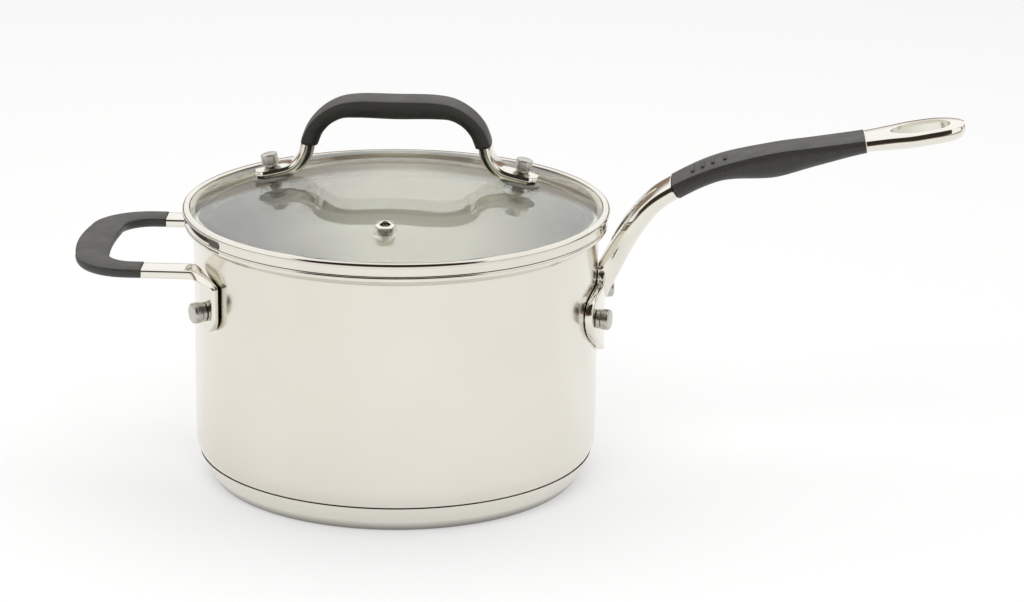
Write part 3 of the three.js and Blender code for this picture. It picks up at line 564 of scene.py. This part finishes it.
def shield_outline():
    """The foot's outline, seen from outside: (across, rise) points round from the top of its stem."""
    widest = main_rivet_side + 8.9 * mm
    shoulder = main_rivet_side + 3.4 * mm
    lower = main_rivet_side - 3.6 * mm
    curves = [
        [(6.4, 20), (6.4, 13), (14, 13)],
        [(14, 13), (shoulder / mm, 12.8), (widest / mm, 8.5), (widest / mm, 1.5)],
        [(widest / mm, 1.5), (widest / mm, -5.5), (shoulder / mm, -10.2), (lower / mm, -14.2)],
        [(lower / mm, -14.2), (5, -22.8)],
        [(5, -22.8), (2.5, -24.1), (0, -24.1)],
    ]
    half = []
    for control in curves:
        for i in range(10):
            level = [Vector(c) for c in control]
            while len(level) > 1:
                level = [a.lerp(b, i / 10) for a, b in zip(level, level[1:])]
            half.append((level[0].x * mm, level[0].y * mm))
    half.append((0, -24.1 * mm))
    return half + [(-across, rise) for across, rise in reversed(half[:-1])]


def wall_plate(name, outline, height, sheet):
    """A plate with this outline, bent round the pan's wall on the long handle's side."""
    layers = [
        (0, 0), (0.35, 0), (0.7, 0), (1, 0), (1, sheet - plate_bevel),
        (0.98, sheet - 0.3 * plate_bevel), (0.95, sheet), (0.7, sheet), (0.35, sheet), (0, sheet),
    ]
    rings = []
    for scale, out in layers:
        reach = wall_radius + wall_gap + out
        angles = [across * scale / (wall_radius + out) for across, rise in outline]
        rings.append([
            (reach * math.cos(angle), reach * math.sin(angle), height + rise * scale)
            for angle, (across, rise) in zip(angles, outline)
        ])
    return skinned(name, rings, capped=False)


def applied(target):
    """Makes the target's modifiers part of its mesh."""
    graph = bpy.context.evaluated_depsgraph_get()
    data = bpy.data.meshes.new_from_object(target.evaluated_get(graph))
    target.modifiers.clear()
    target.data = data
    return target


def cut(target, cutter):
    saw = target.modifiers.new("cut", "BOOLEAN")
    saw.operation = "DIFFERENCE"
    saw.solver = "EXACT"
    saw.object = cutter
    applied(target)
    bpy.data.objects.remove(cutter)
    return target


def merged(name, parts, sharp=crisp_angle):
    """Brings several closed pieces together as one object."""
    build = bmesh.new()
    for part in parts:
        build.from_mesh(part.data)
        bpy.data.objects.remove(part)
    return finished(name, build, sharp)


def cast(name, parts):
    """Runs overlapping solids together into one casting with softened corners."""
    made = merged(name, parts)
    flow = made.modifiers.new("flow", "REMESH")
    flow.mode = "VOXEL"
    flow.voxel_size = cast_grain
    polish = made.modifiers.new("polish", "SMOOTH")
    polish.factor = 0.5
    polish.iterations = cast_softening
    return applied(made)


def hole_prism():
    """The egg-shaped hanging hole, square to the handle's top face."""
    at, side, up = handle_route(10 / handle_last)
    along = side.cross(up) * -1
    middle = at + along * ((hole_middle - at.x) / along.x)
    outline = []
    for i in range(48):
        angle = 2 * math.pi * i / 48
        egg = 1 + 0.16 * math.cos(angle)
        outline.append((hole_reach * math.cos(angle), hole_half * math.sin(angle) * egg))
    return skinned("hole_prism", [
        [middle + along * a + side * b + up * lift for a, b in outline] for lift in (-20 * mm, 20 * mm)
    ])


def trimmed(target):
    """Cuts a casting back to the pan's wall, one gap clear of it."""
    reach = wall_radius + wall_gap
    tall = 2 * rim_top
    return cut(target, turned("wall_plug", [(0, 0), (reach, 0), (reach, tall), (0, tall)], around=256))


at_grip, past_grip = grip_from / handle_last, grip_to / handle_last
tang_overlap = 0.02
slot = bar("slot", handle_route, slot_ring, spread(slot_from / handle_last, slot_to / handle_last, 40))
neck = cut(bar("neck", handle_route, handle_ring, spread(0, at_grip, 60)), slot)
tang = bar("tang", handle_route, tang_ring, spread(at_grip - tang_overlap, past_grip + tang_overlap, 40))
loop_end = cut(bar("loop_end", handle_route, handle_ring, spread(past_grip, 1, 90)), hole_prism())
shield = wall_plate("shield", shield_outline(), main_rivet_height, foot_sheet)
neck_and_shield = trimmed(cast("neck_and_shield", [neck, shield]))
long_handle = merged("long_handle", [neck_and_shield, tang, loop_end], sharp=38)

cast_finish = Finish("polished_cast_steel", metallic=1)
cast_finish.colours(cast_finish.noise(30, 4), (0.77, 0.745, 0.67), (0.81, 0.79, 0.72))
cast_finish.gloss(cast_finish.noise(160, 5), 0.05, 0.10)
cast_finish.relief(cast_finish.noise(420, 2), 0.01 * mm, 0.2)
# Painted shade: faces down in the neck's slot get a far darker steel, with brushed roughness and bumps.
shaded_recess = Finish("brushed_recess_painted_shade", metallic=1)
recess_lines = shaded_recess.noise(1500, 3, (0.06, 1, 0.06))
shaded_recess.colours(shaded_recess.noise(300, 3), (0.24, 0.23, 0.20), (0.33, 0.32, 0.28))
shaded_recess.gloss(recess_lines, 0.35, 0.5)
shaded_recess.relief(recess_lines, 0.03 * mm, 0.4)
cast_finish.cover(long_handle)
shaded_recess.cover(long_handle)
# The slot's faces, 0.9 to 4.5 mm under the handle's top line, take the painted shade.
recess_from, recess_to = 1.4 / handle_last, 3.5 / handle_last
recess_start, recess_stop = handle_route(recess_from)[0].x, handle_route(recess_to)[0].x
for face in long_handle.data.polygons:
    middle = face.center
    if recess_start < middle.x < recess_stop and abs(middle.y) < 3.3 * mm and middle.z > 100 * mm:
        low, high = recess_from - 0.1 / handle_last, recess_to + 0.1 / handle_last
        while high - low > 1e-6:
            share = (low + high) / 2
            at, side, up = handle_route(share)
            along = up.cross(side)
            if (middle - at).dot(along) * along.x > 0:
                low = share
            else:
                high = share
        if 0.9 * mm < (at - middle).dot(up) < 4.5 * mm:
            face.material_index = 1
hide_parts("main_handle")
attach(long_handle, "pan")

# Soft grip of the long handle: a dark moulded sleeve over the bar, with four short ribs on top
# where the thumb rests. It fills the handle's section flush, between two plain butt joints.
rib_radius = 1 * mm
rib_rise = 0.35 * mm
rib_count = 4
first_rib, rib_spacing = 4.55, 0.22
grip_round = 0.5 * mm


def grip_ring(share):
    size = smooth_line(handle_sizes, share)
    ends = min(share * handle_last - grip_from, grip_to - share * handle_last) / 0.05
    round_in = grip_round * (1 - min(max(ends, 0), 1)) ** 2
    return flanged(size.x, size.y, min(2.4 * mm, size.y * 0.3), round_in)


def placed(made, matrix):
    made.data.transform(matrix)
    return made


joint_gap, joint_step = 0.0012, 0.0006
grip_shares = spread(at_grip + joint_gap, past_grip - joint_gap, 90)
for i in range(1, 5):
    inward = joint_gap + i * joint_step
    grip_shares += [at_grip + inward, past_grip - inward]
sleeve = bar("sleeve", handle_route, grip_ring, sorted(grip_shares))
ribs = []
for i in range(rib_count):
    at, side, up = handle_route((first_rib + rib_spacing * i) / handle_last)
    half_length = (11 - i) / 2 * mm
    outline = arc((0, half_length), (rib_radius, rib_radius), 90, 0, 6)
    outline += [(reach, -height) for reach, height in reversed(outline)]
    rib = turned(f"rib_{i}", outline, around=16)
    centre = at + up * rib_rise
    ribs.append(placed(rib, Matrix.Translation(centre) @ Matrix.Rotation(math.radians(90), 4, "X")))
main_grip = merged("long_handle_grip", [sleeve, *ribs])

soft_touch = Finish("soft_touch_grip")
soft_touch.colours(soft_touch.noise(1100, 5), (0.018, 0.0175, 0.0145), (0.036, 0.035, 0.029))
soft_touch.gloss(soft_touch.noise(90, 4), 0.44, 0.56)
soft_touch.relief(soft_touch.noise(2600, 2), 0.05 * mm, 0.3)
soft_touch.cover(main_grip)
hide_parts("main_grip")
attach(main_grip, "pan")

# ---- Helper handle ----
# A cast steel loop opposite the long handle. Each arm bends down and flattens to a rounded tab on
# the wall. The far part of the loop carries the same dark grip.
arm_side = 45.3 * mm
arm_half = 7 * mm
arm_depth = 4.8 * mm
helper_top = 117.3 * mm
helper_rivet_side = 52.8 * mm
helper_rivet_height = 97.6 * mm
helper_foot_sheet = 4.2 * mm
tab_side = 53.6 * mm
tab_half = 7.9 * mm
tab_tip = 95.5 * mm
bend_radius = 7 * mm
helper_bare_end = 121 * mm
loop_reach = 159.5 * mm
loop_corner = 21.5 * mm
loop_bow = 1.8 * mm
loop_sleeve = 1.7 * mm
helper_grip_half, helper_grip_swell = 7.3 * mm, 1.6 * mm
helper_grip_crown, helper_grip_belly = 0.9 * mm, 5.6 * mm


def smooth_step(share):
    share = min(max(share, 0), 1)
    return share * share * (3 - 2 * share)


def helper_arm(sign):
    """Arm, bend and tab on one side, from inside the grip to the tip of the tab."""
    arm_part, bend_part = 0.35, 0.65
    contact = wall_radius + wall_gap
    tip = tab_tip - tab_half + 0.02 * mm
    bend_end = helper_top - bend_radius

    def place(share):
        turn = min(max((share - arm_part) / (bend_part - arm_part), 0), 1)
        angle = math.radians(90) * turn
        settle = smooth_step(turn)
        y = arm_side + (tab_side - arm_side) * settle
        x = -math.sqrt(contact ** 2 - y ** 2) - bend_radius * (1 - math.sin(angle))
        z = helper_top - bend_radius * (1 - math.cos(angle))
        if share < arm_part:
            x -= (1 - share / arm_part) * (helper_bare_end + x)
        if share > bend_part:
            z -= (share - bend_part) / (1 - bend_part) * (bend_end - tip)
        tangent = Vector((y / contact, sign * math.sqrt(1 - (y / contact) ** 2), 0))
        side = Vector((0, sign, 0)).lerp(tangent, settle).normalized()
        inward = Vector((abs(side.y), -side.x * sign, 0))
        up = Vector((0, 0, math.cos(angle))) + inward * math.sin(angle)
        return Vector((x, sign * y, z)), side, up.normalized()

    def ring(share):
        turn = smooth_step((share - arm_part) / (bend_part - arm_part))
        half = arm_half + (tab_half - arm_half) * turn
        depth = arm_depth + (helper_foot_sheet - arm_depth) * turn
        z = place(share)[0].z
        if share > bend_part and z < tab_tip:
            half *= math.sqrt(max(1 - ((tab_tip - z) / tab_half) ** 2, 0.0004))
        return rounded_bar(half, 0, -depth, 0.32 + 0.14 * turn, 40)

    shares = spread(0, arm_part, 6) + spread(arm_part, bend_part, 24)[1:]
    tab_from = bend_part + (bend_end - tab_tip) / (bend_end - tip) * (1 - bend_part)
    shares += spread(bend_part, tab_from, 6)[1:]
    shares += [tab_from + (1 - tab_from) * math.sin(math.radians(90 * i / 14)) for i in range(1, 15)]
    return bar(f"helper_arm_{sign}", place, ring, shares)


def loop_line(start):
    """Points along the loop's centre line, from one arm to the other."""
    reach = arm_side - loop_corner
    end = loop_reach - arm_half - loop_sleeve
    corner_x = -(end - loop_bow) + loop_corner
    first = [(-start + (corner_x + start) * i / 8, -arm_side) for i in range(8)]
    first += arc((corner_x, -reach), (loop_corner, loop_corner), 270, 180, 14)
    for i in range(1, 10):
        share = i / 10
        bowed = -(end - loop_bow) - 4 * loop_bow * share * (1 - share)
        first.append((bowed, -reach + 2 * reach * share))
    first += arc((corner_x, reach), (loop_corner, loop_corner), 180, 90, 14)
    first += [(corner_x + (-start - corner_x) * i / 8, arm_side) for i in range(1, 9)]
    return [Vector((x, y, helper_top)) for x, y in first]


def level_route(points):
    """A route by length along these points, its up direction straight up."""
    lengths = [0]
    for near, far in zip(points, points[1:]):
        lengths.append(lengths[-1] + (far - near).length)

    def at_length(length):
        i = 0
        while i < len(points) - 2 and lengths[i + 1] < length:
            i += 1
        return points[i].lerp(points[i + 1], (length - lengths[i]) / (lengths[i + 1] - lengths[i]))

    def route(share):
        length = share * lengths[-1]
        ahead = at_length(min(length + 1.5 * mm, lengths[-1])) - at_length(max(length - 1.5 * mm, 0))
        up = Vector((0, 0, 1))
        return at_length(length), ahead.normalized().cross(up).normalized(), up
    return route


hidden_core = bar(
    "hidden_core", level_route(loop_line(helper_bare_end - 8 * mm)),
    lambda share: rounded_bar(4 * mm, -1.1 * mm, -3.7 * mm), spread(0, 1, 60),
)
helper_handle = merged("helper_handle_loop", [helper_arm(-1), hidden_core, helper_arm(1)], sharp=50)
cast_finish.cover(helper_handle)
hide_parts("helper_handle")
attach(helper_handle, "pan")


def cushion(half, crown, belly):
    """Section of a soft sleeve: gently domed top, a crease along each side and a full belly."""
    right = [(half * 0.96 * i / 8, crown * (1 - (i / 8) ** 2)) for i in range(9)]
    crease = 0.6 * mm
    right += [(half - 0.12 * mm, -0.2 * mm), (half, -crease)]
    for i in range(1, 13):
        angle = math.radians(90 * i / 12)
        right.append((half * math.cos(angle) ** 0.75, -crease - (belly - crease) * math.sin(angle) ** 0.9))
    return mirrored(right)


def helper_grip_ring(share):
    full = math.sin(math.pi * share) ** 2
    inset = grip_round * (1 - min(min(share, 1 - share) / 0.006, 1)) ** 2
    swell = helper_grip_swell * full - inset
    return cushion(helper_grip_half + swell, helper_grip_crown - inset, helper_grip_belly + swell)


helper_grip = bar(
    "helper_handle_grip", level_route(loop_line(helper_bare_end + wall_gap)), helper_grip_ring,
    sorted(spread(0, 1, 120) + [0.002, 0.004, 0.996, 0.998]),
)
soft_touch.cover(helper_grip)
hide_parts("helper_grip")
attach(helper_grip, "pan")

# ---- Rivets ----
# Four turned steel rivets, two to a handle. A small flat head sits inside the pan and a barrel
# stands outside on a narrower collar. Their ends are faced off on a lathe.
shank_radius = 2.6 * mm
head_radius = 6 * mm
barrel_radius = 5.1 * mm
barrel_length = 4 * mm
collar_radius = 4.75 * mm
collar_length = 2.1 * mm
flat_share = 0.99786  # the flats of the wall's facets lie this much nearer the axis

rivet_finish = Finish("faced_rivet_steel", metallic=1)
rivet_lines = rivet_finish.noise(3200, 3, place=rivet_finish.round_place())
rivet_finish.colours(rivet_finish.noise(500, 3), (0.50, 0.485, 0.445), (0.60, 0.585, 0.54))
rivet_finish.gloss(rivet_lines, 0.24, 0.34)
rivet_finish.relief(rivet_lines, 0.015 * mm, 0.35)


def on_wall(end, side, height):
    """Where a rivet goes: its axis points out of the wall and starts on the wall's surface."""
    out = Vector((end * math.sqrt(wall_radius ** 2 - side ** 2), side, 0)).normalized()
    across = Vector((-out.y, out.x, 0))
    up = Vector((0, 0, 1))
    turn = Matrix((across, up, out)).transposed().to_4x4()
    return Matrix.Translation(out * wall_radius + up * height) @ turn


def rivet_outline(sheet):
    """Section of a rivet through a handle of this thickness, from its head's crown outward."""
    head_top = math.sqrt((inner_wall * flat_share) ** 2 - head_radius ** 2) - wall_radius - wall_gap
    start = sheet + collar_length + 3 * wall_gap
    stop = start + barrel_length
    edge = 1.1 * mm
    return [
        (0, head_top - 1.6 * mm),
        *arc((0, head_top - 0.5 * mm), (head_radius, 1.1 * mm), -80, 0, 8),
        (head_radius, head_top),
        (shank_radius, head_top),
        (shank_radius, start),
        *arc((barrel_radius - 0.3 * mm, start + 0.3 * mm), (0.3 * mm, 0.3 * mm), -90, 0, 4),
        *arc((barrel_radius - edge, stop - edge), (edge, edge), 0, 90, 8),
        (0, stop),
    ]


rivet_spots = [
    ("main", "front", 1, -main_rivet_side, main_rivet_height, foot_sheet),
    ("main", "back", 1, main_rivet_side, main_rivet_height, foot_sheet),
    ("helper", "front", -1, -helper_rivet_side, helper_rivet_height, helper_foot_sheet),
    ("helper", "back", -1, helper_rivet_side, helper_rivet_height, helper_foot_sheet),
]
for handle, where, end, side, height, sheet in rivet_spots:
    collar_start = sheet + 2 * wall_gap
    rivet = turned(f"{handle}_rivet_{where}_turned", rivet_outline(sheet), around=64)
    collar = turned(f"{handle}_collar_{where}_turned", [
        (shank_radius + wall_gap, collar_start),
        (collar_radius - 0.2 * mm, collar_start),
        (collar_radius, collar_start + 0.2 * mm),
        (collar_radius, collar_start + collar_length - 0.2 * mm),
        (collar_radius - 0.2 * mm, collar_start + collar_length),
        (shank_radius + wall_gap, collar_start + collar_length),
    ], around=64)
    for made, kind in ((rivet, "rivet"), (collar, "collar")):
        made.matrix_world = on_wall(end, side, height)
        rivet_finish.cover(made)
        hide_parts(f"{handle}_{kind}_{where}")
        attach(made, "pan")

# ---- Lid glass ----
# A clear dome of tempered glass, 4 mm thick, drilled for the steam vent and for the two screws
# that hold the handle.
sphere = 290 * mm
glass_sheet = 4 * mm
glass_radius = 103.4 * mm
glass_edge = 133.65 * mm
glass_apex = glass_edge + sphere - math.sqrt((sphere - glass_sheet) ** 2 - glass_radius ** 2)
vent_reach = 72 * mm
vent_bore = 2.3 * mm
foot_reach = 61 * mm
screw_radius = 2.2 * mm


def dome_height(reach, radius=sphere):
    return glass_apex - sphere + math.sqrt(radius ** 2 - reach ** 2)


def on_glass(x, y):
    """Where a piece stands square on the glass: its axis points up from the outer surface."""
    at = Vector((x, y, dome_height(math.hypot(x, y))))
    up = (at - Vector((0, 0, glass_apex - sphere))).normalized()
    across = Vector((1, 0, 0)) if x == 0 else Vector((0, 1, 0))
    along = up.cross(across).normalized()
    return Matrix.Translation(at) @ Matrix((across, along, up)).transposed().to_4x4()


dome_reaches = spread(0, glass_radius, 36)
dome_outline = [(reach, dome_height(reach, sphere - glass_sheet)) for reach in dome_reaches]
dome_outline += [(reach, dome_height(reach)) for reach in reversed(dome_reaches)]
lid_glass = turned("lid_dome", dome_outline, around=256)
glass_holes = [(0, -vent_reach, vent_bore + 1.4 * mm)]
glass_holes += [(x, 0, screw_radius + 1 * mm) for x in (-foot_reach, foot_reach)]
for x, y, radius in glass_holes:
    drill = turned("drill", [(0, -9 * mm), (radius, -9 * mm), (radius, 4 * mm), (0, 4 * mm)], around=48)
    cut(lid_glass, placed(drill, on_glass(x, y)))
lid_glass.data.shade_smooth()
lid_glass.data.set_sharp_from_angle(angle=math.radians(crisp_angle))

clear = Finish("clear_lid_glass")
clear.colours(clear.noise(6, 2), (0.945, 0.955, 0.945), (0.965, 0.975, 0.965))
clear.gloss(clear.noise(40, 5), 0.0, 0.012)
clear.relief(clear.noise(14, 2), 0.02 * mm, 0.1)
clear.shader.inputs["Transmission Weight"].default_value = 1
clear.shader.inputs["IOR"].default_value = 1.5
passed = 0.5
for ray in ("Is Shadow Ray", "Is Diffuse Ray", "Is Glossy Ray"):
    passed = clear.node("Math", passed, clear.node("LightPath", out=ray), operation="MAXIMUM")
see_through = clear.node("BsdfTransparent", (0.955, 0.96, 0.945, 1))
glass_or_air = clear.node("MixShader", passed, clear.shader.outputs["BSDF"], see_through)
clear.feed(clear.tree.nodes["Material Output"].inputs["Surface"], glass_or_air)
clear.cover(lid_glass)
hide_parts("lid_glass")
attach(lid_glass, "lid")

# ---- Lid rim ----
# A rolled steel band that holds the glass edge under a small bead, rests on the pan's rim and
# reaches into the pan with a short skirt.
flange_height = 132.7 * mm
band_radius = 105.5 * mm
bead_radius = 106.5 * mm
bead_height = dome_height(glass_radius) + 0.7 * mm
lip_radius = 102.7 * mm
lip_under = dome_height(lip_radius) + 0.3 * mm
skirt_radius = 99.1 * mm
band_sheet = 0.8 * mm
skirt_depth = 6.2 * mm
band_inner = band_radius - band_sheet

rim_outline = [
    (skirt_radius - band_sheet, flange_height - skirt_depth + 0.25 * mm),
    (skirt_radius - band_sheet / 2, flange_height - skirt_depth),
    (skirt_radius, flange_height - skirt_depth + 0.25 * mm),
    (skirt_radius, flange_height),
    *arc((band_radius - 0.4 * mm, flange_height + 0.4 * mm), (0.4 * mm, 0.4 * mm), -90, 0, 6),
    (band_radius, bead_height - 2 * mm),
    (band_radius + 0.25 * mm, bead_height - 1.75 * mm),
    *arc((bead_radius - 0.6 * mm, bead_height - 1.3 * mm), (0.6 * mm, 0.5 * mm), -60, 0, 5),
    *arc((bead_radius - 1.9 * mm, bead_height - 1.1 * mm), (1.9 * mm, 1.85 * mm), 0, 72, 16),
    *arc((lip_radius + 0.6 * mm, lip_under + 0.1 * mm), (0.6 * mm, 0.6 * mm), 80, 190, 8),
    (band_inner, dome_height(band_inner) + 0.3 * mm),
    (band_inner, flange_height + 0.6 * mm),
    (skirt_radius - band_sheet, flange_height + 0.6 * mm),
]
lid_rim = turned("lid_band", rim_outline, around=256)
mirror.cover(lid_rim)
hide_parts("lid_rim")
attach(lid_rim, "lid")

# ---- Steam vent ----
# A steel eyelet with a domed flange lines the vent hole. Its lower end is rolled over a washer.
vent_tube = vent_bore + 1 * mm
vent_flange = 4.7 * mm
vent_under = -glass_sheet - 0.3 * mm
vent_washer_radius = 5.8 * mm
vent_washer_sheet = 1 * mm
eyelet_outline = [
    (vent_bore, vent_under - 2.1 * mm),
    *arc((vent_tube + 0.05 * mm, vent_under - 1.95 * mm), (1.05 * mm, 0.45 * mm), -140, 70, 12),
    (vent_tube, vent_under - 1.4 * mm),
    (vent_tube, 0.3 * mm),
    (vent_flange - 0.2 * mm, 0.3 * mm),
    *arc((vent_flange - 0.45 * mm, 0.75 * mm), (0.45 * mm, 0.45 * mm), -50, 60, 6),
    *arc((vent_bore + 0.75 * mm, 0.75 * mm), (0.75 * mm, 0.75 * mm), 80, 180, 8),
]
vent_eyelet = turned("steam_vent_eyelet", eyelet_outline, around=72)
vent_washer = turned("steam_vent_washer", [
    (vent_tube + 0.3 * mm, vent_under - vent_washer_sheet),
    (vent_washer_radius - 0.2 * mm, vent_under - vent_washer_sheet),
    (vent_washer_radius, vent_under - vent_washer_sheet + 0.2 * mm),
    (vent_washer_radius, vent_under),
    (vent_tube + 0.3 * mm, vent_under),
], around=72)
cast_finish.cover(vent_eyelet)
rivet_finish.cover(vent_washer)
for made, node, finish in (
    (vent_eyelet, "vent_eyelet", "lid_steel"), (vent_washer, "vent_washer", "rivet_steel"),
):
    made.matrix_world = on_glass(0, -vent_reach)
    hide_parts(node)
    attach(made, "lid")

# ---- Lid handle ----
# A polished steel strap arched over the lid, with a dark soft grip on its top. Each foot is held
# by a blind barrel nut on a screw from below, with soft pads on both sides of the glass.
strap_half = 9.2 * mm
strap_skin = 0.4 * mm
strap_foot = 3.8 * mm
lid_grip_crown, lid_grip_belly, lid_grip_swell = 0.55 * mm, 8.1 * mm, 2.2 * mm
pad = 1.8 * mm
pad_gap = 0.3 * mm
strap_top = glass_apex + 36 * mm
foot_line = pad + 2 * pad_gap + strap_foot

right_strap = []
for inward, drop in ((41, 0), (32, 1.8), (23.5, 6.8), (17.5, 13.6), (14.2, 21.5)):
    right_strap.append((foot_reach - inward * mm, strap_top - drop * mm))
for inward, lift in ((12.4, 12), (8.4, 7.6)):
    reach = foot_reach - inward * mm
    right_strap.append((reach, dome_height(reach) + lift * mm))
for reach in (foot_reach - 2 * mm, foot_reach + 3.4 * mm, foot_reach + 7.8 * mm):
    right_strap.append((reach + foot_line * reach / sphere, dome_height(reach) + foot_line))
left_strap = [(-x, z) for x, z in reversed(right_strap)]
strap_line = [Vector((x, 0, z)) for x, z in [*left_strap, (0, strap_top + 0.2 * mm), *right_strap]]
strap_route = upright_route(strap_line)
lid_grip_from = 4.95 / 20
sleeve_from = lid_grip_from + 0.003


def from_middle(share):
    return abs(2 * share - 1)


def strap_ring(share):
    foot = smooth_step((from_middle(share) - 0.56) / 0.18)
    tip = smooth_step((from_middle(share) - 0.9) / 0.1)
    half = (strap_half - strap_skin - 0.6 * mm * foot) * (1 - 0.35 * tip)
    last = max(0, (from_middle(share) - 0.975) / 0.025)
    half *= math.sqrt(max(1 - 0.9 * last ** 2, 0.02))
    depth = 6.8 * mm - 0.6 * mm * foot
    return flanged(half, depth, 1.6 * mm)


def lid_tang_ring(share):
    return rounded_bar(5.4 * mm, -2.2 * mm, -5.6 * mm)


legs = []
for start, stop in ((0, lid_grip_from), (1 - lid_grip_from, 1)):
    leg = bar("leg", strap_route, strap_ring, spread(start, stop, 80))
    x = -foot_reach if start == 0 else foot_reach
    under = pad + 2 * pad_gap
    low = under - 24 * mm
    plane = [(0, low), (40 * mm, low), (40 * mm, under), (0, under)]
    legs.append(cut(leg, placed(turned("foot_plane", plane, around=24), on_glass(x, 0))))
lid_tang_from = lid_grip_from - tang_overlap
lid_tang = bar("lid_tang", strap_route, lid_tang_ring, spread(lid_tang_from, 1 - lid_tang_from, 60))
lid_handle = merged("lid_handle_strap", [legs[0], lid_tang, legs[1]], sharp=38)
cast_finish.cover(lid_handle)
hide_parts("lid_handle")
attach(lid_handle, "lid")


def lid_grip_ring(share):
    middle = 1 - smooth_step(from_middle(share) / 0.32)
    ends = min(share - sleeve_from, 1 - sleeve_from - share) / 0.002
    inset = grip_round * (1 - min(max(ends, 0), 1)) ** 2
    belly = lid_grip_belly + lid_grip_swell * middle
    return cushion(strap_half - inset, lid_grip_crown - inset, belly - inset)


lid_grip_shares = spread(sleeve_from, 1 - sleeve_from, 130)
for inward in (0.0005, 0.0012):
    lid_grip_shares += [sleeve_from + inward, 1 - sleeve_from - inward]
lid_grip = bar("lid_handle_grip", strap_route, lid_grip_ring, sorted(lid_grip_shares))
soft_touch.cover(lid_grip)
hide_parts("lid_grip")
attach(lid_grip, "lid")

silicone = Finish("grey_silicone")
silicone.colours(silicone.noise(700, 3), (0.20, 0.195, 0.17), (0.27, 0.265, 0.24))
silicone.gloss(silicone.noise(80, 3), 0.42, 0.55)
silicone.relief(silicone.noise(1800, 2), 0.03 * mm, 0.2)

nut_base = pad + 3 * pad_gap + strap_foot + 0.4 * mm
nut_radius = 4.2 * mm
nut_top = nut_base + 6.4 * mm
nut_bore_depth, thread_reach = 5 * mm, 4.4 * mm
under_pad = -glass_sheet - pad_gap
screw_bore = screw_radius + 0.5 * mm
screw_head_radius = 4.4 * mm
under_pad_radius, under_pad_sheet = 7 * mm, 1.5 * mm
washer_radius, washer_sheet = 7.4 * mm, 1 * mm
under_washer = under_pad - under_pad_sheet - pad_gap
under_head = under_washer - washer_sheet - pad_gap


def flat_ring(name, outer, sheet, top):
    """A ring round the screw, with its outer edges broken."""
    edge = 0.2 * mm
    bottom = top - sheet
    return turned(name, [
        (screw_bore, bottom), (outer - edge, bottom), (outer, bottom + edge),
        (outer, top - edge), (outer - edge, top), (screw_bore, top),
    ], around=64)


def foot_pad(name):
    """Pad with round ends, longer across the strap's foot than it is wide."""
    half, length, edge = 7.6 * mm, 2.4 * mm, 0.3 * mm
    rings = []
    for radius, height in ((half - edge, 0), (half, edge), (half, pad - edge), (half - edge, pad)):
        angles = [2 * math.pi * (i + 0.5) / 64 for i in range(64)]
        rings.append([
            (radius * math.cos(a), radius * math.sin(a) + length * math.copysign(1, math.sin(a)),
             pad_gap + height)
            for a in angles
        ])
    return skinned(name, rings)


nut_outline = [
    (0, nut_base + nut_bore_depth),
    (screw_radius + 0.3 * mm, nut_base + nut_bore_depth),
    (screw_radius + 0.3 * mm, nut_base),
    (nut_radius - 0.9 * mm, nut_base),
    (nut_radius - 0.9 * mm, nut_base + 1.1 * mm),
    *arc((nut_radius - 0.3 * mm, nut_base + 1.4 * mm), (0.3 * mm, 0.3 * mm), -90, 0, 4),
    *arc((nut_radius - 0.8 * mm, nut_top - 0.8 * mm), (0.8 * mm, 0.8 * mm), 0, 90, 8),
    (0, nut_top),
]
screw_outline = [
    (0, under_head - 2.2 * mm),
    *arc((0, under_head - 0.7 * mm), (screw_head_radius, 1.5 * mm), -80, 0, 8),
    (screw_head_radius, under_head),
    (screw_radius, under_head),
    (screw_radius, nut_base + thread_reach),
    (0, nut_base + thread_reach),
]
for where, x in (("left", -foot_reach), ("right", foot_reach)):
    stack = [
        (foot_pad(f"foot_pad_{where}"), "foot_gasket", "gasket", silicone),
        (flat_ring(f"under_pad_{where}", under_pad_radius, under_pad_sheet, under_pad),
         "under_gasket", "gasket", silicone),
        (flat_ring(f"steel_washer_{where}", washer_radius, washer_sheet, under_washer),
         "under_washer", "rivet_steel", rivet_finish),
        (turned(f"nut_{where}", nut_outline, around=64), "barrel_nut", "lid_steel", rivet_finish),
        (turned(f"screw_{where}", screw_outline, around=64), "lid_screw", "rivet_steel", rivet_finish),
    ]
    for made, node, finish, paint in stack:
        made.matrix_world = on_glass(x, 0)
        paint.cover(made)
        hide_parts(f"{node}_{where}")
        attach(made, "lid")
